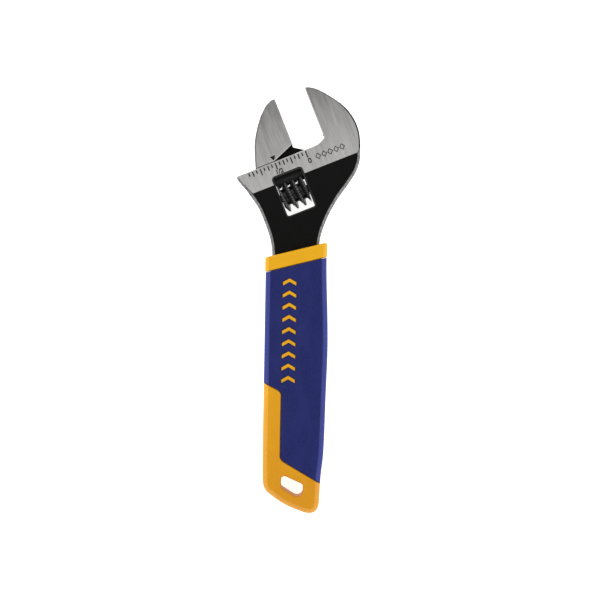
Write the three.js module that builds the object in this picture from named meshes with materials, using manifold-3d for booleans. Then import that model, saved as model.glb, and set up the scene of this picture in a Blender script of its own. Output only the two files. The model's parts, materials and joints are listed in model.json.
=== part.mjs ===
// A 6 inch adjustable wrench with a two-colour moulded grip, lying flat on a table.
//
// Millimetres, +Z up through the thickness, +Y along the handle towards the jaws.
// The origin is on the table, under the middle of the wrench's bounding box.
//
// Two working frames are used, both with their plane z = 0 halfway through the thickness:
//   handle frame  x across the handle, y along it, origin at the middle of the hanging slot
//   head frame    x along the slide, away from the opening, y up the jaw faces, origin where
//                 the fixed jaw's face meets the slide. It is turned by HEAD_ANGLE.
// The steel body is one forging: tang, neck, head and fixed jaw. The movable jaw carries a
// toothed bar that runs in a bore of the head, and a worm on a pin drives it. The grip is a
// yellow moulding round the tang with a blue cushion moulded over it.

import * as THREE from "three";
import { mergeVertices } from "three/addons/utils/BufferGeometryUtils.js";
import Module from "manifold-3d";

const wasm = await Module();
wasm.setup();

const INCH = 25.4;

// ---- lengths along the handle
const COLLAR_TOP = 92.4; // top of the grip's collar above the hanging slot
const NECK_LENGTH = 42.7; // from there to the head frame's origin

// ---- jaws and head
const HEAD_ANGLE = THREE.MathUtils.degToRad(22.5); // jaw faces against the handle
const HEAD_X = 11.1; // head frame's origin in the handle frame
const HEAD_Y = COLLAR_TOP + NECK_LENGTH;
const HEAD_HALF = 5.4; // half the thickness of the ground jaws
const JAW_HEIGHT = 22.8; // jaw tips above the slide
const REST_OPENING = INCH / 2; // gap between the jaws as built
const MAX_OPENING = (15 / 16) * INCH;
const SLIDE_END = -37.9; // left end of the slide
const GROUND_DEPTH = 8.5; // ground band below the slide
const BAND_TAPER = 2.7; // the left edge's lean over that depth
const EDGE_BREAK = 0.4; // small bevel on ground edges
const THROAT_START = -5.6; // where the slide begins to curve up into the fixed jaw
const THROAT_RISE = 1.9; // height of that curve at the fixed jaw's face

// ---- movable jaw, all at the rest opening
const JAW_BACK = -29.6; // back of the jaw at the slide
const JAW_GAP = 0.25; // running gap between the jaw's foot and the slide
const POINTER_X = -21.7; // right end of the foot, where the scale is read
const HEEL_HEIGHT = 3.9; // lower end of the gripping face
const RACK_RADIUS = 4;
const RACK_DEPTH = 6.45; // rack's axis below the slide
const RACK_LEFT = -34.5;
const RACK_RIGHT = -6.2;
const WEB_HALF = 2.2; // half the thickness of the web between jaw and rack
const TOE_HEIGHT = 2.7; // web above the slide, just in front of the jaw
const TOE_REACH = 3.9; // how far the web runs ahead of the gripping face
const SLIDE_CLEARANCE = 0.15; // round the rack and on each side of the web
const END_CLEARANCE = 1.3; // beyond the rack and the web when the jaws are shut

// ---- worm, pin and spring
const WORM_DEPTH = 14.3; // worm's axis below the slide
const WORM_PITCH = 3.25; // one start, right-hand
const WORM_RADIUS = 5.9;
const WORM_ROOT = 3.4;
const WORM_CREST = 0.6; // width of the thread's crest
const LOAD_FLANK = THREE.MathUtils.degToRad(8); // steep flank that holds the jaw
const FREE_FLANK = THREE.MathUtils.degToRad(27);
const WORM_LENGTH = 10.8;
const WORM_CHAMFER = 0.5;
const WORM_CREST_X = -21.3; // one crest, where it faces the rack
const LOAD_CLEARANCE = 0.14; // worm's thread to rack's teeth, on the steep flank
const BACKLASH = 0.42; // on the other flank
const TIP_CLEARANCE = 0.35; // over the thread's crest
const WINDOW_LEFT = -24.65;
const WINDOW_WIDTH = 11.5;
const WINDOW_TOP = -6;
const WINDOW_BOTTOM = -21.8;
const WINDOW_CORNER = 0.8;
const WINDOW_CHAMFER = 0.7;
const WORM_END_GAP = 0.2; // worm to the window's left wall
const PIN_RADIUS = 1.6;
const PIN_HEAD_RADIUS = 2.4;
const PIN_HEAD_LENGTH = 3.6;
const PIN_LEFT = -33.7; // outer face of the pin's head
const PIN_ANCHOR = 4; // how far the pin enters the steel beyond the window
const PIN_CLEARANCE = 0.12;
const PIN_SLOT_WIDTH = 0.8;
const PIN_SLOT_DEPTH = 0.9;
const SPRING_RADIUS = 2.25; // to the middle of the wire
const SPRING_WIRE = 0.25; // wire radius
const SPRING_TURNS = 3.5;
const SPRING_POCKET = 3.3; // depth of the worm's pocket for the spring
const SPRING_CLEARANCE = 0.25;

// ---- scale on the head
const SCALE_ZERO = -9; // zero mark on the slide
const TICK_WIDTH = 0.3;
const TICK_DEPTH = 0.15;
const TICK_START = 0.7; // from the slide's edge

// ---- neck and tang, in the handle frame
const STEP_DOWN = 0.25; // black faces below the ground ones
const NECK_CHAMFER = 1.1;
const TANG_HALF_WIDTH = 8;
const TANG_HALF = 3.2;
const TANG_END = 7.2;
const TANG_CORNER = 3;

// ---- grip, in the handle frame
const GRIP_HALF = 7.5; // half its thickness
const GRIP_LEFT = -11.68;
const GRIP_EDGE = 1.9; // width of the rounded edge seen from above
const GRIP_EDGE_DROP = 2.6; // depth of the rounded edge
const COLLAR_LEFT = -11.95; // the collar is a little wider than the rest
const COLLAR_RIGHT = 12.3;
const COLLAR_HEIGHT = 5.9;
const COLLAR_SLANT = THREE.MathUtils.degToRad(14.6);
const CUSHION_WALL = 2; // thickness of the blue cushion
const MOULD_GAP = 0.2; // between cushion and yellow moulding, and round the tang
const GROOVE = 0.3; // visible groove where the two colours meet
const STRIP_RIGHT = -4.65; // right edge of the yellow strip
const STRIP_TOP = 40.6; // where the strip ends on the grip's left side
const STRIP_SHOULDER = 34.4;
const STRIP_BOTTOM = 12.9;
const STRIP_ROUND = 2.6;
const TAIL_SLANT = THREE.MathUtils.degToRad(29.8); // lower end of the cushion
const SLOT_HALF_WIDTH = 4.3; // hanging slot
const SLOT_LEFT_TOP = 4.85; // its upper edge at each end
const SLOT_RIGHT_TOP = 1;
const SLOT_LEFT_HEIGHT = 5.2;
const SLOT_RIGHT_HEIGHT = 6.6;

// ---- raised chevrons that replace lettering on the cushion
const MARK_COUNT = 9;
const MARK_MARGIN = 11.8; // from the collar's top to the first mark
const MARK_END = 42.6; // the last mark
const MARK_X = -2.2;
const MARK_HALF_WIDTH = 2.6;
const MARK_RISE = 1.5;
const MARK_STROKE = 1.3;
const MARK_GAP = 0.2;

const steelGround = new THREE.MeshStandardMaterial({ color: 0xa6a6a6, metalness: 1, roughness: 0.35 });
const steelBlack = new THREE.MeshStandardMaterial({ color: 0x141414, metalness: 0.6, roughness: 0.45 });
const steelPin = new THREE.MeshStandardMaterial({ color: 0x2c2c2e, metalness: 0.9, roughness: 0.4 });
const steelSpring = new THREE.MeshStandardMaterial({ color: 0x8f8f93, metalness: 1, roughness: 0.3 });
const yellowPlastic = new THREE.MeshStandardMaterial({ color: 0xe5a528, metalness: 0, roughness: 0.5 });
const blueRubber = new THREE.MeshStandardMaterial({ color: 0x292e68, metalness: 0, roughness: 0.75 });

// ---------------------------------------------------------------- solids

// A closed geometry as a manifold-3d solid that faces out.
function solid(geometry) {
  const bare = geometry.clone();
  bare.deleteAttribute("normal");
  bare.deleteAttribute("uv");
  const merged = mergeVertices(bare, 1e-5);
  const vertProperties = merged.attributes.position.array;
  const triVerts = new Uint32Array(merged.index.array);
  const made = new wasm.Manifold(new wasm.Mesh({ numProp: 3, vertProperties, triVerts }));
  if (made.volume() > 0) return made;
  return new wasm.Manifold(new wasm.Mesh({ numProp: 3, vertProperties, triVerts: triVerts.reverse() }));
}

function meshOf(name, made, material) {
  const from = made.getMesh();
  const geometry = new THREE.BufferGeometry();
  geometry.setAttribute("position", new THREE.BufferAttribute(new Float32Array(from.vertProperties), 3));
  geometry.setIndex(new THREE.BufferAttribute(new Uint32Array(from.triVerts), 1));
  geometry.computeVertexNormals();
  const mesh = new THREE.Mesh(geometry, material);
  mesh.name = name;
  return mesh;
}

// A plan shape made solid, from z = -half to z = half. edge and drop round both faces' edges,
// inside the shape, and grow moves the whole outline outwards.
function prism(shape, half, { edge = 0, drop = edge, steps = 1, grow = 0, curve = 10 } = {}) {
  const bevelled = edge > 0 || grow !== 0;
  const thickness = edge > 0 ? drop : 0.01;
  const geometry = new THREE.ExtrudeGeometry(shape, {
    depth: 2 * half - (bevelled ? 2 * thickness : 0),
    bevelEnabled: bevelled,
    bevelThickness: thickness,
    bevelSize: edge,
    bevelOffset: grow - edge,
    bevelSegments: steps,
    curveSegments: curve,
  });
  geometry.translate(0, 0, -half + (bevelled ? thickness : 0));
  return solid(geometry);
}

// A solid turned about the x axis at height y, from [x, radius] pairs that start and end on it.
function turned(profile, y = 0, sides = 32) {
  const points = profile.map(([x, radius]) => new THREE.Vector2(radius, x));
  const geometry = new THREE.LatheGeometry(points, sides);
  geometry.rotateZ(-Math.PI / 2);
  geometry.translate(0, y, 0);
  return solid(geometry);
}

const rod = (from, to, radius, y, sides) => turned([[from, 0], [from, radius], [to, radius], [to, 0]], y, sides);

function box(x0, x1, y0, y1, z0, z1) {
  const geometry = new THREE.BoxGeometry(x1 - x0, y1 - y0, z1 - z0);
  geometry.translate((x0 + x1) / 2, (y0 + y1) / 2, (z0 + z1) / 2);
  return solid(geometry);
}

const headMatrix = new THREE.Matrix4()
  .makeTranslation(HEAD_X, HEAD_Y, 0)
  .multiply(new THREE.Matrix4().makeRotationZ(HEAD_ANGLE));

const fromHead = (made) => made.transform(headMatrix.elements);

function inHandle(x, y) {
  const point = new THREE.Vector3(x, y, 0).applyMatrix4(headMatrix);
  return [point.x, point.y];
}

const shapeOf = (points) => new THREE.Shape(points.map(([x, y]) => new THREE.Vector2(x, y)));

// A closed shape with every corner rounded by its own radius, from [x, y, radius] corners.
function roundedShape(corners, steps = 5) {
  const points = [];
  corners.forEach(([x, y, radius], i) => {
    const corner = new THREE.Vector2(x, y);
    const [px, py] = corners[(i + corners.length - 1) % corners.length];
    const [nx, ny] = corners[(i + 1) % corners.length];
    if (!radius) {
      points.push(corner);
      return;
    }
    const back = new THREE.Vector2(px, py).sub(corner).normalize();
    const on = new THREE.Vector2(nx, ny).sub(corner).normalize();
    const half = Math.acos(THREE.MathUtils.clamp(back.dot(on), -1, 1)) / 2;
    const run = radius / Math.tan(half);
    const start = corner.clone().addScaledVector(back, run);
    const end = corner.clone().addScaledVector(on, run);
    const bisector = back.clone().add(on).normalize();
    const centre = corner.clone().addScaledVector(bisector, radius / Math.sin(half));
    const first = start.clone().sub(centre).angle();
    let sweep = end.clone().sub(centre).angle() - first;
    if (sweep > Math.PI) sweep -= 2 * Math.PI;
    if (sweep < -Math.PI) sweep += 2 * Math.PI;
    for (let k = 0; k <= steps; k++) {
      const angle = first + (sweep * k) / steps;
      points.push(new THREE.Vector2(Math.cos(angle), Math.sin(angle)).multiplyScalar(radius).add(centre));
    }
  });
  return new THREE.Shape(points);
}

// ---------------------------------------------------------------- body

// Ground part of the head: the band below the slide and the fixed jaw, in the head frame.
function headShape() {
  const throatRadius = (THROAT_START ** 2 + THROAT_RISE ** 2) / (2 * THROAT_RISE);
  const throatTurn = Math.asin(-THROAT_START / throatRadius);
  const shape = new THREE.Shape();
  shape.moveTo(SLIDE_END + BAND_TAPER, -GROUND_DEPTH);
  shape.splineThru([
    new THREE.Vector2(-11.5, -GROUND_DEPTH),
    new THREE.Vector2(11, -GROUND_DEPTH),
  ]);
  shape.splineThru([
    new THREE.Vector2(12.9, -3),
    new THREE.Vector2(13.5, 2),
    new THREE.Vector2(11.6, 10.1),
    new THREE.Vector2(7.1, 16.9),
    new THREE.Vector2(2.2, JAW_HEIGHT - 0.9),
  ]);
  shape.lineTo(0, JAW_HEIGHT);
  shape.lineTo(0, THROAT_RISE);
  shape.absarc(THROAT_START, throatRadius, throatRadius, -Math.PI / 2 + throatTurn, -Math.PI / 2, true);
  shape.lineTo(SLIDE_END + 0.9, 0);
  shape.quadraticCurveTo(SLIDE_END, 0, SLIDE_END, -1);
  shape.lineTo(SLIDE_END + BAND_TAPER, -GROUND_DEPTH);
  return shape;
}

// Stations from the ground band down to the tang's end: left point, right point, half
// thickness and edge bevel, in the handle frame. The first lies just inside the ground band.
function neckStations() {
  const dark = HEAD_HALF - STEP_DOWN;
  const inset = 0.1;
  const left = SLIDE_END + BAND_TAPER;
  const at = (x, part) => [x, COLLAR_TOP + part * NECK_LENGTH];
  return [
    [inHandle(left + inset, 0.6 - GROUND_DEPTH), inHandle(11 - inset, 0.6 - GROUND_DEPTH), dark, 0.5],
    [inHandle(left, -GROUND_DEPTH), inHandle(11, -GROUND_DEPTH), dark, 0.6],
    [at(-16.7, 0.445), at(24.3, 0.82), dark, 0.9],
    [at(-15.2, 0.391), at(22.8, 0.721), dark, NECK_CHAMFER],
    [at(-14, 0.335), at(19.8, 0.609), dark - 0.1, NECK_CHAMFER],
    [at(-12.9, 0.281), at(16.2, 0.487), dark - 0.35, NECK_CHAMFER],
    [at(-11.8, 0.218), at(13.1, 0.354), dark - 0.7, NECK_CHAMFER],
    [at(-10.8, 0.152), at(10.9, 0.23), dark - 1.05, NECK_CHAMFER],
    [at(-9.9, 0.08), at(9.6, 0.126), dark - 1.3, NECK_CHAMFER],
    [at(-9.3, -0.01), at(9, 0.014), dark - 1.45, NECK_CHAMFER],
    [at(-9.1, -0.1), at(8.8, -0.1), dark - 1.5, NECK_CHAMFER],
    [at(-TANG_HALF_WIDTH, -0.2), at(TANG_HALF_WIDTH, -0.2), TANG_HALF, 0.8],
    [[-TANG_HALF_WIDTH, TANG_END + TANG_CORNER], [TANG_HALF_WIDTH, TANG_END + TANG_CORNER], TANG_HALF, 0.8],
    [[TANG_CORNER - TANG_HALF_WIDTH, TANG_END], [TANG_HALF_WIDTH - TANG_CORNER, TANG_END], TANG_HALF, 0.8],
  ];
}

// The neck and tang as a loft of eight-sided sections, grown by grow all round.
function neck(grow = 0) {
  const stations = neckStations();
  const rings = stations.map(([left, right, half, chamfer], i) => {
    const along = new THREE.Vector2(right[0] - left[0], right[1] - left[1]).normalize();
    const shift = i === stations.length - 1 ? -grow : 0;
    const at = (point, inward, z) => [point[0] + along.x * inward, point[1] + along.y * inward + shift, z];
    const top = half + grow;
    const low = top - chamfer;
    return [
      at(left, -grow, -low), at(left, -grow, low), at(left, chamfer - grow, top),
      at(right, grow - chamfer, top), at(right, grow, low), at(right, grow, -low),
      at(right, grow - chamfer, -top), at(left, chamfer - grow, -top),
    ];
  });
  const sides = rings[0].length;
  const positions = rings.flat(2);
  const index = [];
  for (let i = 0; i < rings.length - 1; i++)
    for (let k = 0; k < sides; k++) {
      const a = i * sides + k;
      const b = i * sides + ((k + 1) % sides);
      index.push(a, b, a + sides, b, b + sides, a + sides);
    }
  const last = (rings.length - 1) * sides;
  for (let k = 1; k < sides - 1; k++) {
    index.push(0, k + 1, k);
    index.push(last, last + k, last + k + 1);
  }
  const geometry = new THREE.BufferGeometry();
  geometry.setAttribute("position", new THREE.Float32BufferAttribute(positions, 3));
  geometry.setIndex(index);
  return solid(geometry);
}

// Room for the movable jaw's web: from the left end to beyond the web with the jaws shut.
function slideSlot() {
  const shut = REST_OPENING + END_CLEARANCE / 2;
  const toe = -REST_OPENING + TOE_REACH + shut;
  const half = WEB_HALF + SLIDE_CLEARANCE;
  const shape = shapeOf([
    [SLIDE_END - 5, -RACK_DEPTH],
    [RACK_RIGHT + shut, -RACK_DEPTH],
    [RACK_RIGHT + shut, -2.5],
    [toe, 0.3],
    [0.6, TOE_HEIGHT + 0.8],
    [SLIDE_END - 5, TOE_HEIGHT + 0.8],
  ]);
  return prism(shape, half);
}

function windowCut() {
  const right = WINDOW_LEFT + WINDOW_WIDTH;
  const shape = roundedShape([
    [WINDOW_LEFT, WINDOW_BOTTOM, WINDOW_CORNER],
    [right, WINDOW_BOTTOM, WINDOW_CORNER],
    [right, WINDOW_TOP, WINDOW_CORNER],
    [WINDOW_LEFT, WINDOW_TOP, WINDOW_CORNER],
  ]);
  const through = prism(shape, HEAD_HALF + 1);
  const height = 2 * WINDOW_CHAMFER;
  const sink = prism(shape, height, { edge: WINDOW_CHAMFER, grow: WINDOW_CHAMFER });
  const front = sink.translate([0, 0, HEAD_HALF + height - WINDOW_CHAMFER]);
  return through.add(front).add(front.mirror([0, 0, 1]));
}

// Hole for the worm's pin, with a wider seat for its head at the left edge of the neck.
function pinHole() {
  const seat = PIN_LEFT + PIN_HEAD_LENGTH + PIN_CLEARANCE;
  const end = WINDOW_LEFT + WINDOW_WIDTH + PIN_ANCHOR + PIN_CLEARANCE;
  const narrow = PIN_RADIUS + PIN_CLEARANCE;
  const wide = PIN_HEAD_RADIUS + PIN_CLEARANCE;
  const outside = PIN_LEFT - 6;
  return turned([[outside, 0], [outside, wide], [seat, wide], [seat, narrow], [end, narrow], [end, 0]], -WORM_DEPTH, 24);
}

// Grooves of one scale. Ticks run down from the slide's edge, longer at each quarter.
function scale(spacing, count, lengthOf, face) {
  let cuts = null;
  for (let i = 0; i <= count; i++) {
    const x = SCALE_ZERO - i * spacing;
    const y = -TICK_START;
    const surface = face * HEAD_HALF;
    const depths = [surface - face * TICK_DEPTH, surface + face];
    const tick = box(x - TICK_WIDTH / 2, x + TICK_WIDTH / 2, y - lengthOf(i), y, Math.min(...depths), Math.max(...depths));
    cuts = cuts ? cuts.add(tick) : tick;
  }
  return cuts;
}

const inchTick = (i) => (i % 4 === 0 ? 2.6 : i % 2 === 0 ? 1.9 : 1.3);
const metricTick = (i) => (i % 10 === 0 ? 2.6 : i % 5 === 0 ? 1.9 : 1.3);

function wrenchBody() {
  const bore = rod(SLIDE_END - 5, RACK_RIGHT + REST_OPENING + END_CLEARANCE, RACK_RADIUS + SLIDE_CLEARANCE, -RACK_DEPTH);
  const ground = prism(headShape(), HEAD_HALF, { edge: EDGE_BREAK, curve: 5 });
  const cuts = bore
    .add(slideSlot())
    .add(windowCut())
    .add(pinHole())
    .add(scale(INCH / 16, 15, inchTick, 1))
    .add(scale(1, 24, metricTick, -1));
  return fromHead(ground).add(neck()).subtract(fromHead(cuts));
}

// ---------------------------------------------------------------- worm and rack

// One helical ridge about the x axis from x0 to x1, with a crest at WORM_CREST_X where it
// faces up. The three clearances make it the cutter for teeth that mesh with it.
function ridge(x0, x1, load = 0, free = 0, tip = 0, sides = 24) {
  const crest = WORM_RADIUS + tip;
  const root = WORM_ROOT - 0.4;
  const height = WORM_RADIUS - root;
  const halfCrest = WORM_CREST / 2;
  const steep = Math.tan(LOAD_FLANK);
  const sloped = Math.tan(FREE_FLANK);
  const profile = [
    [-halfCrest - height * sloped - free, root],
    [-halfCrest + tip * sloped - free, crest],
    [halfCrest - tip * steep + load, crest],
    [halfCrest + height * steep + load, root],
  ];
  const turnsBefore = Math.floor((x0 - WORM_CREST_X) / WORM_PITCH) - 1;
  const turnsAfter = Math.ceil((x1 - WORM_CREST_X) / WORM_PITCH) + 1;
  const positions = [];
  const index = [];
  const count = profile.length;
  const steps = (turnsAfter - turnsBefore) * sides;
  for (let i = 0; i <= steps; i++) {
    const turn = turnsBefore + i / sides;
    const angle = 2 * Math.PI * turn;
    const middle = WORM_CREST_X + WORM_PITCH * turn;
    for (const [dx, radius] of profile)
      positions.push(middle + dx, radius * Math.cos(angle), radius * Math.sin(angle));
    if (i === steps) break;
    for (let k = 0; k < count; k++) {
      const a = i * count + k;
      const b = i * count + ((k + 1) % count);
      index.push(a, b, a + count, b, b + count, a + count);
    }
  }
  const last = steps * count;
  for (let k = 1; k < count - 1; k++) {
    index.push(0, k + 1, k);
    index.push(last, last + k, last + k + 1);
  }
  const geometry = new THREE.BufferGeometry();
  geometry.setAttribute("position", new THREE.Float32BufferAttribute(positions, 3));
  geometry.setIndex(index);
  return solid(geometry).translate([0, -WORM_DEPTH, 0]);
}

const wormLeft = () => WINDOW_LEFT + WORM_END_GAP;
const wormRight = () => wormLeft() + WORM_LENGTH;

function wormKnurl() {
  const left = wormLeft();
  const right = wormRight();
  const outer = WORM_RADIUS + 0.3;
  const envelope = turned(
    [
      [left, 0], [left, outer - WORM_CHAMFER - 0.3], [left + WORM_CHAMFER, outer],
      [right - WORM_CHAMFER, outer], [right, outer - WORM_CHAMFER - 0.3], [right, 0],
    ],
    -WORM_DEPTH,
  );
  const bore = rod(left - 1, right + 1, PIN_RADIUS + PIN_CLEARANCE, -WORM_DEPTH, 24);
  const pocket = rod(right - SPRING_POCKET, right + 1, SPRING_RADIUS + SPRING_WIRE + SPRING_CLEARANCE, -WORM_DEPTH, 24);
  return ridge(left, right)
    .add(rod(left - 1, right + 1, WORM_ROOT, -WORM_DEPTH))
    .intersect(envelope)
    .subtract(bore)
    .subtract(pocket);
}

function wormPin() {
  const shoulder = PIN_LEFT + PIN_HEAD_LENGTH;
  const end = WINDOW_LEFT + WINDOW_WIDTH + PIN_ANCHOR;
  const pin = turned(
    [
      [PIN_LEFT, 0], [PIN_LEFT, PIN_HEAD_RADIUS], [shoulder, PIN_HEAD_RADIUS], [shoulder, PIN_RADIUS],
      [end - 0.5, PIN_RADIUS], [end, PIN_RADIUS - 0.5], [end, 0],
    ],
    -WORM_DEPTH,
    24,
  );
  const half = PIN_SLOT_WIDTH / 2;
  const reach = PIN_HEAD_RADIUS + 1;
  const slot = box(PIN_LEFT - 1, PIN_LEFT + PIN_SLOT_DEPTH, -reach, reach, -half, half);
  return pin.subtract(slot.translate([0, -WORM_DEPTH, 0]));
}

// A short compression spring round the pin, between the worm and the window's right wall.
class Coil extends THREE.Curve {
  constructor(left, right) {
    super();
    this.left = left;
    this.right = right;
  }
  getPoint(t, target = new THREE.Vector3()) {
    const angle = 2 * Math.PI * SPRING_TURNS * t;
    return target.set(
      this.left + (this.right - this.left) * t,
      SPRING_RADIUS * Math.cos(angle),
      SPRING_RADIUS * Math.sin(angle),
    );
  }
}

function wormSpring() {
  const wall = WINDOW_LEFT + WINDOW_WIDTH;
  const left = wormRight() - SPRING_POCKET + SPRING_WIRE + SPRING_CLEARANCE;
  const right = wall - SPRING_WIRE - SPRING_CLEARANCE / 2;
  const section = new THREE.Shape().absarc(0, 0, SPRING_WIRE, 0, 2 * Math.PI);
  const geometry = new THREE.ExtrudeGeometry(section, {
    steps: 52,
    curveSegments: 4,
    extrudePath: new Coil(left, right),
    bevelEnabled: false,
  });
  return solid(geometry).translate([0, -WORM_DEPTH, 0]);
}

// ---------------------------------------------------------------- movable jaw

// The thick gripping part, in the head frame at the rest opening.
function jawShape() {
  const face = -REST_OPENING;
  const shape = new THREE.Shape();
  shape.moveTo(JAW_BACK, JAW_GAP);
  shape.lineTo(POINTER_X, JAW_GAP);
  shape.lineTo(face, HEEL_HEIGHT);
  shape.lineTo(face, JAW_HEIGHT);
  shape.lineTo(face - 1.6, JAW_HEIGHT);
  shape.splineThru([
    new THREE.Vector2(-19, 19.7),
    new THREE.Vector2(-23.7, 14),
    new THREE.Vector2(-27.1, 7.8),
    new THREE.Vector2(JAW_BACK, JAW_GAP),
  ]);
  return shape;
}

// The web joins jaw and rack through the slot of the head, and runs ahead as a toe.
function webShape() {
  const face = -REST_OPENING;
  const toe = face + TOE_REACH;
  return shapeOf([
    [JAW_BACK + 0.6, -RACK_DEPTH],
    [RACK_RIGHT, -RACK_DEPTH],
    [RACK_RIGHT - 0.4, -3.4],
    [toe, 0],
    [face - 0.15, TOE_HEIGHT],
    [face - 0.15, HEEL_HEIGHT + 2],
    [JAW_BACK + 3, HEEL_HEIGHT + 2],
  ]);
}

function movableJaw() {
  const bar = rod(RACK_LEFT, RACK_RIGHT, RACK_RADIUS, -RACK_DEPTH, 40);
  const rack = bar.subtract(ridge(RACK_LEFT, RACK_RIGHT, LOAD_CLEARANCE, BACKLASH, TIP_CLEARANCE));
  const jaw = prism(jawShape(), HEAD_HALF, { edge: EDGE_BREAK, curve: 5 });
  return jaw.add(prism(webShape(), WEB_HALF)).add(rack);
}

// ---------------------------------------------------------------- grip

const collarLine = (x) => COLLAR_TOP + x * Math.tan(COLLAR_SLANT);
const cushionTop = (x) => collarLine(x) - COLLAR_HEIGHT;
const tailLine = (x) => 9.7 - (x + 3.2) * Math.tan(TAIL_SLANT);

function gripShape() {
  const right = 12.15;
  const shape = new THREE.Shape();
  shape.moveTo(GRIP_LEFT, cushionTop(GRIP_LEFT) + 1);
  shape.lineTo(GRIP_LEFT, 0.65 * COLLAR_TOP);
  shape.lineTo(GRIP_LEFT, 14);
  shape.lineTo(GRIP_LEFT + 0.23, 2.4);
  shape.quadraticCurveTo(GRIP_LEFT + 0.3, -0.9, -9.5, -2.5);
  shape.splineThru([
    new THREE.Vector2(-6.1, -5),
    new THREE.Vector2(-2.2, -7.3),
    new THREE.Vector2(2.1, -9.1),
    new THREE.Vector2(5.2, -10.15),
  ]);
  shape.quadraticCurveTo(10.2, -11.3, 10.75, -6.2);
  shape.lineTo(11.2, 4);
  shape.splineThru([
    new THREE.Vector2(12.15, 14.5),
    new THREE.Vector2(12.65, 0.39 * COLLAR_TOP),
    new THREE.Vector2(13.05, 0.563 * COLLAR_TOP),
    new THREE.Vector2(12.9, 0.693 * COLLAR_TOP),
    new THREE.Vector2(right, 0.91 * COLLAR_TOP),
  ]);
  shape.lineTo(right, cushionTop(right) + 1);
  return shape;
}

// The collar band round the mouth of the grip, whose lower part the cushion's region cuts off.
function collarShape() {
  const below = COLLAR_HEIGHT + 3;
  return shapeOf([
    [COLLAR_LEFT, collarLine(COLLAR_LEFT) - below],
    [COLLAR_RIGHT, collarLine(COLLAR_RIGHT) - below],
    [COLLAR_RIGHT, collarLine(COLLAR_RIGHT)],
    [COLLAR_LEFT, collarLine(COLLAR_LEFT)],
  ]);
}

// Plan region of the cushion, wider than the grip at both sides.
function cushionRegion() {
  const out = 20;
  return roundedShape([
    [-out, STRIP_TOP + 2.4, 0],
    [GRIP_LEFT, STRIP_TOP, 2],
    [STRIP_RIGHT, STRIP_SHOULDER + 2.6, STRIP_ROUND],
    [STRIP_RIGHT, tailLine(STRIP_RIGHT), STRIP_ROUND],
    [out, tailLine(out), 0],
    [out, cushionTop(out), 0],
    [-out, cushionTop(-out), 0],
  ]);
}

function hangingSlot() {
  const corners = [
    [-SLOT_HALF_WIDTH, SLOT_LEFT_TOP - SLOT_LEFT_HEIGHT, 1.2],
    [SLOT_HALF_WIDTH, SLOT_RIGHT_TOP - SLOT_RIGHT_HEIGHT, 2.3],
    [SLOT_HALF_WIDTH, SLOT_RIGHT_TOP, 1],
    [-SLOT_HALF_WIDTH, SLOT_LEFT_TOP, 1.4],
  ];
  return prism(roundedShape(corners), GRIP_HALF + 2);
}

// Nine chevrons that point to the head, as one solid through both faces of the grip.
function chevrons(half, grow) {
  const reach = MARK_HALF_WIDTH + grow;
  const stroke = MARK_STROKE / 2 + grow;
  const top = COLLAR_TOP - MARK_MARGIN;
  const pitch = (top - MARK_END) / (MARK_COUNT - 1);
  let made = null;
  for (let i = 0; i < MARK_COUNT; i++) {
    const y = top - i * pitch;
    const low = y - MARK_RISE;
    const chevron = prism(
      shapeOf([
        [MARK_X - reach, low - stroke],
        [MARK_X, y - stroke],
        [MARK_X + reach, low - stroke],
        [MARK_X + reach, low + stroke],
        [MARK_X, y + stroke],
        [MARK_X - reach, low + stroke],
      ]),
      half,
    );
    made = made ? made.add(chevron) : chevron;
  }
  return made;
}

const gripRound = { edge: GRIP_EDGE, drop: GRIP_EDGE_DROP, steps: 3, curve: 5 };
const gripEnvelope = () => prism(gripShape(), GRIP_HALF, gripRound);

// The core under the cushion, which joins the collar. grow makes it the cutter for the
// cushion's inside.
function gripCore(grow) {
  const half = GRIP_HALF - CUSHION_WALL + grow;
  const inset = CUSHION_WALL - grow;
  const core = prism(gripShape(), half, { edge: 1, grow: -inset, curve: 4 });
  const neckEnd = shapeOf([
    [GRIP_LEFT + inset, cushionTop(GRIP_LEFT) - 8],
    [12.15 - inset, cushionTop(12.15) - 8],
    [12.15 - inset, collarLine(12.15) - 1],
    [GRIP_LEFT + inset, collarLine(GRIP_LEFT) - 1],
  ]);
  return core.add(prism(neckEnd, half, { edge: 1 }));
}

function gripBase() {
  const collar = prism(collarShape(), GRIP_HALF, gripRound);
  const outside = gripEnvelope().add(collar);
  const yellow = outside.subtract(prism(cushionRegion(), GRIP_HALF + 2, { grow: GROOVE }));
  return yellow
    .add(gripCore(0))
    .add(chevrons(GRIP_HALF, 0))
    .subtract(neck(MOULD_GAP))
    .subtract(hangingSlot());
}

function gripCushion() {
  return gripEnvelope()
    .intersect(prism(cushionRegion(), GRIP_HALF + 2))
    .subtract(gripCore(MOULD_GAP))
    .subtract(chevrons(GRIP_HALF + 2, MARK_GAP));
}

// ---------------------------------------------------------------- assembly

function wrench() {
  const head = new THREE.Group();
  head.position.set(HEAD_X, HEAD_Y, 0);
  head.rotation.z = HEAD_ANGLE;
  head.add(
    meshOf("movable_jaw", movableJaw(), steelGround),
    meshOf("worm_knurl", wormKnurl(), steelBlack),
    meshOf("worm_pin", wormPin(), steelPin),
    meshOf("worm_spring", wormSpring(), steelSpring),
  );
  const handle = new THREE.Group();
  handle.add(
    meshOf("wrench_body", wrenchBody(), steelGround),
    meshOf("grip_base", gripBase(), yellowPlastic),
    meshOf("grip_cushion", gripCushion(), blueRubber),
    head,
  );
  const bounds = new THREE.Box3().setFromObject(handle, true);
  const centre = bounds.getCenter(new THREE.Vector3());
  handle.position.set(-centre.x, -centre.y, -bounds.min.z);
  return new THREE.Group().add(handle);
}

export default wrench();
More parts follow.
